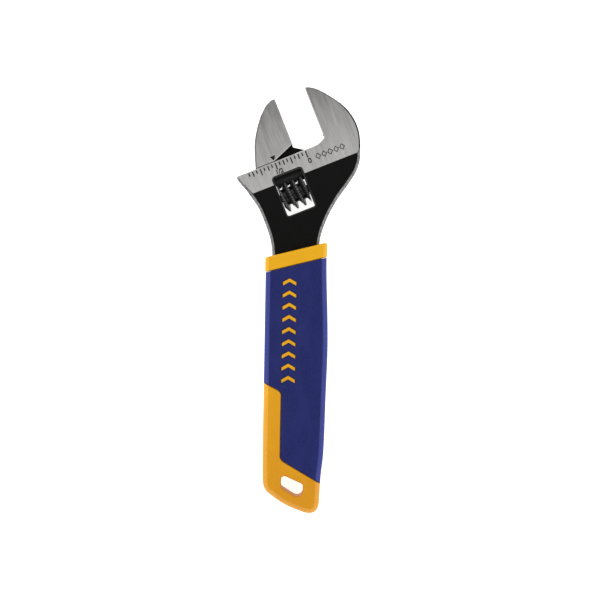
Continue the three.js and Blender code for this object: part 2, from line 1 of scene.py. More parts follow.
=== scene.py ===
# A 6 inch adjustable wrench with a two-colour moulded grip: the looks round the CAD parts.
#
# Every plan shape is drawn in millimetres in one of two frames, with z = 0 halfway through:
#   handle frame  x across the handle, y along it, origin at the middle of the hanging slot
#   head frame    x along the slide, y up the jaw faces, origin where the fixed jaw's face
#                 meets the slide
# Flat-faced pieces are "plates": a plan outline whose height falls off with the distance from
# its edge, mirrored about z = 0.

import json
import math

import bmesh
import bpy
import numpy as np
from mathutils import Matrix, Vector
from mathutils.geometry import delaunay_2d_cdt


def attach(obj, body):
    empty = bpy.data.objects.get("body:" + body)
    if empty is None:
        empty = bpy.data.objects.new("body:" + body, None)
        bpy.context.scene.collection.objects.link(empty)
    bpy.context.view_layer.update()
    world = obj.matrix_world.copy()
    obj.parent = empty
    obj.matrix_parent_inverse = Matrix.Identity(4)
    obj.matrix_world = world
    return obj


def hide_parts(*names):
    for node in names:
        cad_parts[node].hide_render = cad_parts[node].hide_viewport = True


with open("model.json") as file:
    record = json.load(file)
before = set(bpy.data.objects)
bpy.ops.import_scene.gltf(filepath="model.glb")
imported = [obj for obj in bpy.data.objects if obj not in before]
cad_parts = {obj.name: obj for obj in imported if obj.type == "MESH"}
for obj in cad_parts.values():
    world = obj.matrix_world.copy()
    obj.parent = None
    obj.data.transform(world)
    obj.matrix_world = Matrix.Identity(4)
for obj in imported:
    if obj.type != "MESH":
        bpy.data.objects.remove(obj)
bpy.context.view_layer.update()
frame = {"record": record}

MM = 0.001

# ---------------------------------------------------------------- sizes, in millimetres

FACE_MOUNT_HEIGHT = 12  # the fixed jaw's mount above the slide
HEAD_IN_HANDLE = (11.1, 135.1)  # head frame's origin in the handle frame
HEAD_HALF = 5.4  # half thickness of the ground jaws
DARK_HALF = 5.15  # and of the black forging just below them
GROUND_DEPTH = 8.5  # ground band below the slide
GROUND_STEP = 0.05  # run of the step from the ground to the black surface
JAW_HEIGHT = 22.8
REST_OPENING = 12.7
TOE_HEIGHT = 3.9  # where the movable jaw's face starts

RACK_RADIUS = 4
RACK_DEPTH = 6.45
RACK_LEFT, RACK_RIGHT = -34.5, -6.2
WEB_HALF = 2.2
SLIDE_CLEARANCE = 0.15

WORM_DEPTH = 14.3
WORM_PITCH = 3.25
WORM_RADIUS = 5.9
WORM_ROOT = 3.4
WORM_CREST_X = -21.3
WORM_LEFT, WORM_RIGHT = -24.45, -13.65
STEEP_FLANK, FREE_FLANK = math.radians(8), math.radians(27)
KNURLS = 34  # notches round the thread's crest
KNURL_SIZE, KNURL_OUT, KNURL_LENGTH = 0.34, 0.06, 37.3
SPRING_POCKET, SPRING_POCKET_RADIUS = 3.3, 2.75
SPRING_RADIUS, SPRING_WIRE, SPRING_TURNS = 2.25, 0.25, 3.5
PIN_RADIUS = 1.6
PIN_HEAD_RADIUS = 2.4
PIN_HEAD_LENGTH = 3.6
PIN_LEFT, PIN_RIGHT = -33.7, -9.15
PIN_CLEARANCE = 0.12
WINDOW = (-24.65, -13.15, -21.8, -6.0)  # left, right, bottom, top

MARK_DEPTH = 0.15  # of the engraving on the head
POINTER_DEPTH = 0.12
SCALE_START = (-9, -0.6)  # upper end of the mark at nought
POINTER = [(-21.7, 0.42), (-20.55, 2.3), (-22.85, 2.3)]

GRIP_HALF = 7.5
CUSHION_HALF = 7.42
CORE_HALF, CAVITY_HALF = 5.5, 5.7  # the yellow core, and the hollow of the cushion round it
COLLAR_TOP = 92.4
COLLAR_HEIGHT = 5.9
COLLAR_SLANT = math.radians(14.6)
TAIL_SLANT = math.radians(29.8)
GRIP_LEFT = -11.68
COLLAR_SIDES = (-11.95, 12.3)
MARK_TOP, MARK_END, MARK_COUNT = COLLAR_TOP - 11.8, 42.6, 9  # chevrons on the grip
MARK_PITCH = (MARK_TOP - MARK_END) / (MARK_COUNT - 1)

# The neck's cross lines: where each crosses x = 0, its slant, and the half thickness there.
LEVELS = [-20, 83.9, 88.1, 92.5, 96.8, 100.5, 104.4, 108.3, 111.5, 114.7, 200]
SLANTS = [0, 0, 0, 0.055, 0.1, 0.152, 0.233, 0.302, 0.346, 0.371, 0.39]
HALVES = [3.2, 3.2, 3.65, 3.7, 3.85, 4.1, 4.45, 4.8, 5.05, DARK_HALF, DARK_HALF]

# ---------------------------------------------------------------- frames

mounts = {m["name"]: m for m in frame["record"]["mounts"]}
slide_dir = -Vector(mounts["fixed_jaw_face"]["axis"])
face_dir = Vector((0, 0, 1)).cross(slide_dir)
head_origin = Vector(mounts["fixed_jaw_face"]["pos_m"]) - face_dir * FACE_MOUNT_HEIGHT * MM
head_turn = Matrix((slide_dir, face_dir, (0, 0, 1))).transposed().to_4x4()
handle_origin = head_origin - Vector((*HEAD_IN_HANDLE, 0)) * MM
HEAD = Matrix.Translation(head_origin) @ head_turn @ Matrix.Scale(MM, 4)
HANDLE = Matrix.Translation(handle_origin) @ Matrix.Scale(MM, 4)
HEAD_TO_HANDLE = HANDLE.inverted() @ HEAD


def in_handle(points):
    """Head-frame plan points in the handle frame."""
    return [tuple((HEAD_TO_HANDLE @ Vector((x, y, 0)))[:2]) for x, y in points]


def in_head(points):
    """Handle-frame plan points in the head frame."""
    away = np.array(points) - np.array(HEAD_IN_HANDLE)
    c, s = slide_dir.x, slide_dir.y
    return np.column_stack([away[:, 0] * c + away[:, 1] * s, -away[:, 0] * s + away[:, 1] * c])


def on_worm_axis(start):
    """Takes a shape built up the z axis into the head frame, along the worm's axis."""
    return Matrix(((0, 0, 1, start), (1, 0, 0, -WORM_DEPTH), (0, 1, 0, 0), (0, 0, 0, 1)))


# ---------------------------------------------------------------- plan curves


def curve(points, step=0.4):
    """Points at about that spacing on a smooth curve through the given ones."""
    p = np.array(points, float)
    p = np.vstack([2 * p[0] - p[1], p, 2 * p[-1] - p[-2]])
    out = []
    for a, b, c, d in zip(p[:-3], p[1:-2], p[2:-1], p[3:]):
        n = max(1, int(np.linalg.norm(c - b) / step))
        for t in np.arange(n) / n:
            out.append(0.5 * (2 * b + (c - a) * t + (2 * a - 5 * b + 4 * c - d) * t**2
                              + (3 * b - a - 3 * c + d) * t**3))
    out.append(p[-2])
    return [tuple(q) for q in out]


def line(a, b, step=0.4):
    n = max(1, int(math.dist(a, b) / step))
    return [tuple(np.array(a) + (np.array(b) - np.array(a)) * i / n) for i in range(n + 1)]


def arc(centre, radius, start, end, step=0.3):
    n = max(4, int(abs(end - start) * radius / step))
    return [(centre[0] + radius * math.cos(t), centre[1] + radius * math.sin(t))
            for t in np.linspace(start, end, n + 1)]


def bend(a, control, b, steps=14):
    """A quadratic curve from a to b, drawn towards the control point."""
    a, control, b = (np.array(q, float) for q in (a, control, b))
    return [tuple(a * (1 - t) ** 2 + control * 2 * t * (1 - t) + b * t * t)
            for t in np.linspace(0, 1, steps + 1)]


def rounded(corners, step=0.4):
    """A closed loop with each corner rounded by its own radius, from (x, y, radius) corners."""
    loop = []
    for i, (x, y, radius) in enumerate(corners):
        corner = np.array((x, y))
        before, after = np.array(corners[i - 1][:2]), np.array(corners[(i + 1) % len(corners)][:2])
        back = (before - corner) / np.linalg.norm(before - corner)
        on = (after - corner) / np.linalg.norm(after - corner)
        if not radius:
            loop.append([tuple(corner)])
            continue
        half = math.acos(np.clip(back @ on, -1, 1)) / 2
        run = radius / math.tan(half)
        centre = corner + (back + on) / np.linalg.norm(back + on) * radius / math.sin(half)
        first = math.atan2(*(corner + back * run - centre)[::-1])
        last = math.atan2(*(corner + on * run - centre)[::-1])
        sweep = (last - first + math.pi) % (2 * math.pi) - math.pi
        loop.append(arc(centre, radius, first, first + sweep, 0.15))
    out = []
    for i, piece in enumerate(loop):
        out += piece
        out += line(piece[-1], loop[(i + 1) % len(loop)][0], step)[1:-1]
    return out


def closed(*pieces):
    """One closed loop of points from pieces laid end to end."""
    points = []
    for piece in pieces:
        for q in piece:
            if not points or math.dist(points[-1], q) > 1e-3:
                points.append(tuple(q))
    if math.dist(points[0], points[-1]) < 1e-3:
        points.pop()
    return np.array(points)


def part_of(points, keep):
    """The stretch of a polyline where keep(point) is above 0, cut exactly at its ends."""
    out = []
    for a, b in zip(points[:-1], points[1:]):
        a, b = np.array(a), np.array(b)
        ka, kb = keep(a), keep(b)
        if ka > 0:
            out.append(tuple(a))
        if (ka > 0) != (kb > 0):
            out.append(tuple(a + (b - a) * ka / (ka - kb)))
    if keep(np.array(points[-1])) > 0:
        out.append(tuple(points[-1]))
    return out


def offset(points, by, loop=True):
    """The polyline moved to its left by that much: inwards for an anticlockwise loop."""
    p = np.array(points, float)
    t = np.roll(p, -1, 0) - np.roll(p, 1, 0) if loop else np.gradient(p, axis=0)
    t /= np.linalg.norm(t, axis=1, keepdims=True)
    return p + np.column_stack([-t[:, 1], t[:, 0]]) * by


def anticlockwise(p):
    x, y = p[:, 0], p[:, 1]
    return p if np.sum(x * np.roll(y, -1) - np.roll(x, -1) * y) > 0 else p[::-1]


def inside(loop, q):
    """Which of the points q are inside a loop."""
    hit = np.zeros(len(q), bool)
    for (x0, y0), (x1, y1) in zip(loop, np.roll(loop, -1, 0)):
        if y0 != y1:
            crosses = (q[:, 1] < y0) != (q[:, 1] < y1)
            hit ^= crosses & (q[:, 0] < (x1 - x0) * (q[:, 1] - y0) / (y1 - y0) + x0)
    return hit


def distance(q, line_points, loop=False):
    """Distance from each point of q to a polyline."""
    a = np.array(line_points, float)
    b = np.roll(a, -1, 0) if loop else a[1:]
    a = a if loop else a[:-1]
    ab = b - a
    size = np.maximum((ab**2).sum(1), 1e-12)
    best = np.empty(len(q))
    for start in range(0, len(q), 2000):  # in batches, to spare memory
        rel = q[start:start + 2000, None] - a[None]
        t = np.clip((rel * ab[None]).sum(2) / size, 0, 1)
        gap = np.linalg.norm(rel - t[..., None] * ab[None], axis=2)
        best[start:start + 2000] = gap.min(1)
    return best


# ---------------------------------------------------------------- plates


class Fall:
    """How a plate drops towards one guide line: over a width, by a depth, and how round the
    drop is, from 0, a straight facet, to 1, a quarter round."""

    def __init__(self, guide, width, depth, roundness, loop=False):
        self.guide, self.loop = np.array(guide, float), loop
        self.width, self.depth, self.roundness = width, depth, roundness

    def drop(self, q):
        t = np.clip(distance(q, self.guide, self.loop) / self.width, 0, 1)
        quarter = 1 - np.sqrt(np.clip(1 - (1 - t) ** 2, 0, 1))
        return self.depth * ((1 - t) * (1 - self.roundness) + quarter * self.roundness)

    def rings(self):
        """Lines at the drop's own steps, on both sides of the guide, with their distances."""
        steps = (0.1, 0.28, 0.5, 0.72, 0.88, 1.0) if self.width > 0.8 else (0.45, 1.0)
        return [(offset(self.guide, side * self.width * k, self.loop), self.width * k)
                for k in steps for side in (1, -1)]


def plate(name, outline, height, falls, holes=(), features=(), spacing=2.5):
    """A closed mesh over a plan outline, mirrored about z = 0: height(points), less the drops.
    The features are lines that its edges must follow."""
    outline = anticlockwise(outline)
    points, edges = [], []

    def string(line_points, loop, keep):
        """Adds a line's kept points, and the edges between neighbours."""
        index = {}
        for i, q in enumerate(line_points):
            if keep[i]:
                index[i] = len(points)
                points.append(tuple(q))
        count = len(line_points)
        for i in range(count if loop else count - 1):
            j = (i + 1) % count
            if i in index and j in index and math.dist(line_points[i], line_points[j]) < 1.5:
                edges.append((index[i], index[j]))

    loops = [outline, *holes]
    for loop in loops:
        n = len(points)
        points += [tuple(q) for q in loop]
        edges += [(n + i, n + (i + 1) % len(loop)) for i in range(len(loop))]

    def within(q, margin):
        good = inside(outline, q)
        for hole in holes:
            good &= ~inside(hole, q)
        for loop in loops:
            good &= distance(q, loop, True) > margin
        return good

    for fall in falls:
        for ring, away in fall.rings():
            keep = within(ring, 0.03)
            off = np.abs(distance(ring, fall.guide, fall.loop) - away)
            string(ring, fall.loop, keep & (off < 0.01 + 0.01 * fall.width))
    for feature in features:
        feature = np.array(feature)
        string(feature, False, within(feature, 0.02))
    lo, hi = outline.min(0), outline.max(0)
    axes = [np.arange(lo[k] + spacing / 2, hi[k], spacing) for k in (0, 1)]
    gx, gy = np.meshgrid(*axes)
    grid = np.column_stack([gx.ravel(), gy.ravel()])
    points += [tuple(q) for q in grid[within(grid, 0.3)]]
    out, _, tris, *_ = delaunay_2d_cdt([Vector(q) for q in points], edges, [], 0, 1e-5)
    q = np.array([tuple(p) for p in out])
    tris = np.array(tris)
    middle = q[tris].mean(1)
    good = inside(outline, middle)
    for hole in holes:
        good &= ~inside(hole, middle)
    tris = tris[good]
    base = height(q)
    top = base.copy()
    for fall in falls:
        top = np.minimum(top, base - fall.drop(q))
    count = len(q)
    (ax, ay), (bx, by), (cx, cy) = (q[tris[:, k]].T for k in range(3))
    cross = (bx - ax) * (cy - ay) - (by - ay) * (cx - ax)
    tris = np.where(cross[:, None] < 0, tris[:, ::-1], tris)
    faces = [tuple(t) for t in tris] + [tuple(t[::-1] + count) for t in tris]
    seen = {(t[i], t[(i + 1) % 3]) for t in tris for i in range(3)}
    faces += [(i, i + count, j + count, j) for i, j in seen if (j, i) not in seen]
    return solid(name, np.vstack([np.column_stack([q, top]), np.column_stack([q, -top])]), faces)


# ---------------------------------------------------------------- meshes


def linked(name, data):
    """A new object in the scene."""
    made = bpy.data.objects.new(name, data)
    bpy.context.scene.collection.objects.link(made)
    return made


def solid(name, verts, faces):
    """An object from vertices and faces, without loose points."""
    mesh = bpy.data.meshes.new(name)
    verts = [tuple(map(float, v)) for v in verts]
    mesh.from_pydata(verts, [], [tuple(map(int, f)) for f in faces])
    made = linked(name, mesh)
    tidy(made)
    return made


def tidy(made, merge=1e-4):
    """Merges close points, drops loose ones and turns the faces outwards."""
    bm = bmesh.new()
    bm.from_mesh(made.data)
    bmesh.ops.remove_doubles(bm, verts=bm.verts, dist=merge)
    bmesh.ops.dissolve_degenerate(bm, edges=bm.edges, dist=merge)
    bmesh.ops.delete(bm, geom=[v for v in bm.verts if not v.link_faces], context="VERTS")
    bmesh.ops.recalc_face_normals(bm, faces=bm.faces)
    bm.to_mesh(made.data)
    bm.free()


def placed(made, matrix):
    made.data.transform(matrix)
    return made


def turned(name, profile, sides=64, y=0.0):
    """A solid turned about the x axis at height y, from (x, radius) pairs."""
    verts, faces = [], []
    for x, radius in profile:
        for k in range(sides):
            t = 2 * math.pi * k / sides
            verts.append((x, y + radius * math.cos(t), radius * math.sin(t)))
    last = (len(profile) - 1) * sides
    for i in range(0, last, sides):
        for k in range(sides):
            a, b = i + k, i + (k + 1) % sides
            faces.append((a, b, b + sides, a + sides))
    faces += [tuple(range(sides))[::-1], tuple(range(last, last + sides))]
    return solid(name, verts, faces)


def block(name, low, high):
    """A box between two opposite corners."""
    verts = [(x, y, z) for x in (low[0], high[0]) for y in (low[1], high[1])
             for z in (low[2], high[2])]
    faces = [(0, 1, 3, 2), (4, 6, 7, 5), (0, 4, 5, 1), (2, 3, 7, 6), (0, 2, 6, 4), (1, 5, 7, 3)]
    return solid(name, verts, faces)


def extruded(name, loop, low, high):
    """A plan loop made solid between two heights."""
    n = len(loop)
    verts = [(x, y, z) for z in (low, high) for x, y in loop]
    faces = [tuple(range(n))[::-1], tuple(range(n, 2 * n))]
    faces += [(i, (i + 1) % n, n + (i + 1) % n, n + i) for i in range(n)]
    return solid(name, verts, faces)


def plain_mesh(made):
    """The object's final shape, as a new mesh."""
    graph = bpy.context.evaluated_depsgraph_get()
    return bpy.data.meshes.new_from_object(made.evaluated_get(graph))


def evaluated(made):
    """Applies the object's modifiers."""
    mesh = plain_mesh(made)
    made.modifiers.clear()
    made.data = mesh
    return made


def boolean(made, tool, operation="DIFFERENCE", crossing=False):
    """Cuts or joins; crossing allows for a mesh whose own faces may touch."""
    modifier = made.modifiers.new("boolean", "BOOLEAN")
    modifier.solver, modifier.use_self = "EXACT", crossing
    modifier.operation = operation
    modifier.object = tool
    evaluated(made)
    bpy.data.objects.remove(tool)


def joined(name, parts):
    """Several separate solids as one object."""
    bm = bmesh.new()
    for part in parts:
        bm.from_mesh(part.data)
        bpy.data.objects.remove(part)
    mesh = bpy.data.meshes.new(name)
    bm.to_mesh(mesh)
    bm.free()
    return linked(name, mesh)


# ---------------------------------------------------------------- node helpers

MAP, MIX, MATH = "ShaderNodeMapRange", "ShaderNodeMix", "ShaderNodeMath"
VECTOR, SPLIT, COMBINE = "ShaderNodeVectorMath", "ShaderNodeSeparateXYZ", "ShaderNodeCombineXYZ"
PLACE, NOISE, BUMP = "ShaderNodeTexCoord", "ShaderNodeTexNoise", "ShaderNodeBump"
PRINCIPLED, OUTPUT = "ShaderNodeBsdfPrincipled", "ShaderNodeOutputMaterial"


def add(tree, kind, inputs=None, **settings):
    """Adds a node with its settings. Each input is a value, another node, whose first output
    is linked, or one output of a node."""
    made = tree.nodes.new(kind)
    for name, value in settings.items():
        setattr(made, name, value)
    for key, value in (inputs or {}).items():
        if isinstance(value, bpy.types.Node):
            value = value.outputs[0]
        if isinstance(value, bpy.types.NodeSocket):
            tree.links.new(value, made.inputs[key])
        else:
            made.inputs[key].default_value = value
    return made


def rule(name, sockets):
    """A Geometry Nodes tree with named inputs, and its input node's outputs."""
    tree = bpy.data.node_groups.new(name, "GeometryNodeTree")
    tree.interface.new_socket("Geometry", in_out="OUTPUT", socket_type="NodeSocketGeometry")
    for label, kind in {**sockets, "Material": "Material"}.items():
        tree.interface.new_socket(label, in_out="INPUT", socket_type="NodeSocket" + kind)
    return tree, add(tree, "NodeGroupInput").outputs


def finish_rule(tree, given, geometry):
    """Ends the tree with real geometry that carries the given material."""
    real = add(tree, "GeometryNodeRealizeInstances", {0: geometry})
    material = {"Geometry": real, "Material": given["Material"]}
    add(tree, "NodeGroupOutput", {0: add(tree, "GeometryNodeSetMaterial", material)})


def made_by(tree, name, material, **values):
    """A plain mesh object from a Geometry Nodes tree; its named inputs are set by identifier."""
    made = linked(name, bpy.data.meshes.new(name))
    modifier = made.modifiers.new(tree.name, "NODES")
    modifier.node_group = tree
    values["Material"] = material
    for item in tree.interface.items_tree:
        if item.item_type == "SOCKET" and item.in_out == "INPUT":
            modifier[item.identifier] = values[item.name.replace(" ", "_")]
    return evaluated(made)


# ---------------------------------------------------------------- materials


def linear(code):
    """An sRGB hex colour as linear RGBA."""
    parts = [int(code[i:i + 2], 16) / 255 for i in (1, 3, 5)]
    return (*[c / 12.92 if c <= 0.04045 else ((c + 0.055) / 1.055) ** 2.4 for c in parts], 1.0)


def blank(name):
    """A material without nodes, and its tree."""
    material = bpy.data.materials.new(name)
    material.use_nodes = True
    material.node_tree.nodes.clear()
    return material, material.node_tree


def in_head_millimetres(tree):
    """Object coordinates as u along the slide, v up the jaw faces and z, in millimetres; and
    v on its own."""
    away = {0: add(tree, PLACE).outputs["Object"], 1: head_origin}
    away = add(tree, VECTOR, away, operation="SUBTRACT")
    axes = []
    for axis in (slide_dir, face_dir, Vector((0, 0, 1))):
        along = add(tree, VECTOR, {0: away, 1: axis / MM}, operation="DOT_PRODUCT")
        axes.append(along.outputs["Value"])
    return add(tree, COMBINE, dict(enumerate(axes))), axes[1]


def in_millimetres(tree):
    place = add(tree, PLACE).outputs["Object"]
    return add(tree, VECTOR, {0: place, 3: 1 / MM}, operation="SCALE")


def ground_steel():
    """Alloy steel, forged and then ground on an abrasive belt: bright, with long scratches up
    the jaw faces. Real scratches are some 0.05 mm apart; they are drawn three to six times
    coarser, so that they show."""
    material, tree = blank("belt_ground_alloy_steel")
    place, v = in_head_millimetres(tree)
    scratched = add(tree, VECTOR, {0: place, 1: (3.6, 0.1, 3.6)}, operation="MULTIPLY")
    streaked = add(tree, VECTOR, {0: place, 1: (0.55, 0.03, 0.5)}, operation="MULTIPLY")
    scored = add(tree, VECTOR, {0: place, 1: (1.7, 0.05, 1.7)}, operation="MULTIPLY")
    fine = add(tree, NOISE, {"Vector": scratched, "Scale": 1.0, "Detail": 4.0, "Roughness": 0.75})
    broad = add(tree, NOISE, {"Vector": streaked, "Scale": 1.0, "Detail": 2.0, "Roughness": 0.55})
    deep = add(tree, NOISE, {"Vector": scored, "Scale": 1.0, "Detail": 2.0, "Roughness": 0.55})
    faint = add(tree, MAP, {0: broad, 1: 0.0, 2: 1.0, 3: 0.15, 4: 0.85})
    tone = add(tree, MATH, {0: fine, 1: faint}, operation="ADD")
    # Painted shade: the ground faces are painted darker towards the jaw tips and lighter near the
    # band.
    painted_shade_towards_tips = add(tree, MAP, {0: v, 1: -8.0, 2: 24.0, 3: 0.5, 4: -0.42})
    tone = add(tree, MATH, {0: tone, 1: painted_shade_towards_tips}, operation="ADD")
    tone = add(tree, MAP, {0: tone, 1: 0.45, 2: 1.6, 3: 0.0, 4: 1.0})
    tones = {0: tone, 6: linear("#8a8988"), 7: linear("#d8d7d5")}
    colour = add(tree, MIX, tones, data_type="RGBA").outputs[2]
    rough = add(tree, MAP, {0: fine, 1: 0.3, 2: 0.7, 3: 0.26, 4: 0.42})
    relief = add(tree, BUMP, {"Height": fine, "Distance": 0.04 * MM, "Strength": 0.5})
    deeper = {"Height": deep, "Distance": 0.06 * MM, "Strength": 0.35, "Normal": relief}
    relief = add(tree, BUMP, deeper)
    looks = {"Metallic": 1.0, "Base Color": colour, "Roughness": rough, "Normal": relief}
    add(tree, OUTPUT, {"Surface": add(tree, PRINCIPLED, looks)})
    return material


def black_steel():
    """The same steel left as forged and phosphated black: a fine dull crystal grain, worn to
    grey steel along the edges, where the "rim" attribute is high; on the neck that grey covers
    the whole bevel, and there it is partly painted light on the bevels."""
    material, tree = blank("black_phosphated_forging")
    place = in_millimetres(tree)
    grain = add(tree, NOISE, {"Vector": place, "Scale": 2.6, "Detail": 4.0, "Roughness": 0.7})
    patch = add(tree, NOISE, {"Vector": place, "Scale": 0.18, "Detail": 2.0, "Roughness": 0.55})
    wear = add(tree, NOISE, {"Vector": place, "Scale": 0.7, "Detail": 4.0, "Roughness": 0.55})
    wear = add(tree, MAP, {0: wear, 1: 0.35, 2: 0.62, 3: 0.55, 4: 1.0})
    rim = add(tree, "ShaderNodeAttribute", attribute_name="rim").outputs["Fac"]
    worn = add(tree, MATH, {0: wear, 1: rim}, operation="MULTIPLY")
    speckle = add(tree, MAP, {0: grain, 1: 0.4, 2: 0.75, 3: 0.0, 4: 1.0})
    blotch = add(tree, MAP, {0: patch, 1: 0.4, 2: 0.7, 3: 0.0, 4: 0.5})
    colour = linear("#040404")
    # The grey where "rim" is high is partly worn steel and partly painted light on the bevels.
    for share, shade in ((speckle, "#121211"), (blotch, "#0a0a09"), (worn, "#9a9a99")):
        mixed = add(tree, MIX, {0: share, 6: colour, 7: linear(shade)}, data_type="RGBA")
        colour = mixed.outputs[2]
    bare = add(tree, MATH, {0: worn, 1: 0.9}, operation="MULTIPLY")
    rough = add(tree, MAP, {0: grain, 1: 0.3, 2: 0.7, 3: 0.42, 4: 0.6})
    relief = add(tree, BUMP, {"Height": grain, "Distance": 0.05 * MM, "Strength": 0.45})
    looks = {"Specular IOR Level": 0.1, "Base Color": colour, "Metallic": bare,
             "Roughness": rough, "Normal": relief}
    add(tree, OUTPUT, {"Surface": add(tree, PRINCIPLED, looks)})
    return material


def oxide_steel():
    """Turned and hardened steel with a black oxide skin: smooth, a little glossy, rubbed to
    bright steel on its corners, where the "rim" attribute is high."""
    material, tree = blank("black_oxide_turned_steel")
    place = in_millimetres(tree)
    grain = add(tree, NOISE, {"Vector": place, "Scale": 3.0, "Detail": 3.0, "Roughness": 0.55})
    rim = add(tree, "ShaderNodeAttribute", attribute_name="rim").outputs["Fac"]
    wear = add(tree, MAP, {0: grain, 1: 0.35, 2: 0.6, 3: 0.35, 4: 1.0})
    worn = add(tree, MATH, {0: wear, 1: rim}, operation="MULTIPLY")
    tones = {0: worn, 6: linear("#0c0c0d"), 7: linear("#9c9c9a")}
    colour = add(tree, MIX, tones, data_type="RGBA").outputs[2]
    bare = add(tree, MAP, {0: worn, 1: 0.0, 2: 1.0, 3: 0.3, 4: 1.0})
    rough = add(tree, MAP, {0: grain, 1: 0.3, 2: 0.7, 3: 0.25, 4: 0.4})
    relief = add(tree, BUMP, {"Height": grain, "Distance": 0.03 * MM, "Strength": 0.3})
    looks = {"Base Color": colour, "Metallic": bare, "Roughness": rough, "Normal": relief}
    add(tree, OUTPUT, {"Surface": add(tree, PRINCIPLED, looks)})
    return material


def enamel():
    """Black enamel wiped into the engraved marks: matt, with a slightly uneven fill."""
    material, tree = blank("black_enamel_fill")
    place = in_millimetres(tree)
    fill = add(tree, NOISE, {"Vector": place, "Scale": 2.0, "Detail": 3.0, "Roughness": 0.55})
    share = add(tree, MAP, {0: fill, 1: 0.4, 2: 0.7, 3: 0.0, 4: 1.0})
    tones = {0: share, 6: linear("#080808"), 7: linear("#1a1a1a")}
    colour = add(tree, MIX, tones, data_type="RGBA").outputs[2]
    rough = add(tree, MAP, {0: fill, 1: 0.3, 2: 0.7, 3: 0.45, 4: 0.7})
    looks = {"Specular IOR Level": 0.2, "Base Color": colour, "Roughness": rough}
    add(tree, OUTPUT, {"Surface": add(tree, PRINCIPLED, looks)})
    return material


def spring_steel():
    """Hard-drawn spring wire: bright, with fine die lines and a faint straw tint."""
    material, tree = blank("hard_drawn_spring_wire")
    place = in_millimetres(tree)
    drawn = add(tree, VECTOR, {0: place, 1: (6.0, 6.0, 1.0)}, operation="MULTIPLY")
    lines = add(tree, NOISE, {"Vector": drawn, "Scale": 1.0, "Detail": 3.0, "Roughness": 0.55})
    tones = {0: lines, 6: linear("#8b8883"), 7: linear("#bdbab4")}
    colour = add(tree, MIX, tones, data_type="RGBA").outputs[2]
    rough = add(tree, MAP, {0: lines, 1: 0.3, 2: 0.7, 3: 0.2, 4: 0.38})
    relief = add(tree, BUMP, {"Height": lines, "Distance": 0.02 * MM, "Strength": 0.4})
    looks = {"Metallic": 1.0, "Base Color": colour, "Roughness": rough, "Normal": relief}
    add(tree, OUTPUT, {"Surface": add(tree, PRINCIPLED, looks)})
    return material


def yellow_plastic():
    """Polypropylene moulded against a fine spark-eroded tool: satin, with a soft 0.5 mm grain.
    Its colour is painted a deeper orange towards the tail and brighter towards the collar, as
    painted shade and light along the handle, with a random flow tone over it."""
    material, tree = blank("moulded_yellow_polypropylene")
    place = in_millimetres(tree)
    grain = add(tree, NOISE, {"Vector": place, "Scale": 2.2, "Detail": 3.0, "Roughness": 0.55})
    drawn = add(tree, VECTOR, {0: place, 1: (0.12, 0.05, 0.12)}, operation="MULTIPLY")
    flow = add(tree, NOISE, {"Vector": drawn, "Scale": 1.0, "Detail": 2.0, "Roughness": 0.55})
    flow = add(tree, MAP, {0: flow, 1: 0.3, 2: 0.7, 3: -0.12, 4: 0.2})
    along = add(tree, SPLIT, {0: place}).outputs[1]
    # Painted light: the share of the brighter orange grows up the handle, from the tail towards
    # the collar.
    painted_light_along_handle = add(tree, MAP, {0: along, 1: -78.0, 2: 12.0, 3: 0.0, 4: 0.8})
    painted_light_and_flow = add(tree, MATH, {0: painted_light_along_handle, 1: flow}, operation="ADD", use_clamp=True)
    fleck = add(tree, MAP, {0: grain, 1: 0.35, 2: 0.75, 3: 0.0, 4: 0.35})
    colour = linear("#d68c06")
    for share, shade in ((painted_light_and_flow, "#edaf04"), (fleck, "#f4b916")):
        mixed = add(tree, MIX, {0: share, 6: colour, 7: linear(shade)}, data_type="RGBA")
        colour = mixed.outputs[2]
    rough = add(tree, MAP, {0: grain, 1: 0.3, 2: 0.7, 3: 0.36, 4: 0.5})
    relief = add(tree, BUMP, {"Height": grain, "Distance": 0.06 * MM, "Strength": 0.35})
    looks = {"IOR": 1.49, "Specular IOR Level": 0.3, "Base Color": colour,
             "Roughness": rough, "Normal": relief}
    add(tree, OUTPUT, {"Surface": add(tree, PRINCIPLED, looks)})
    return material


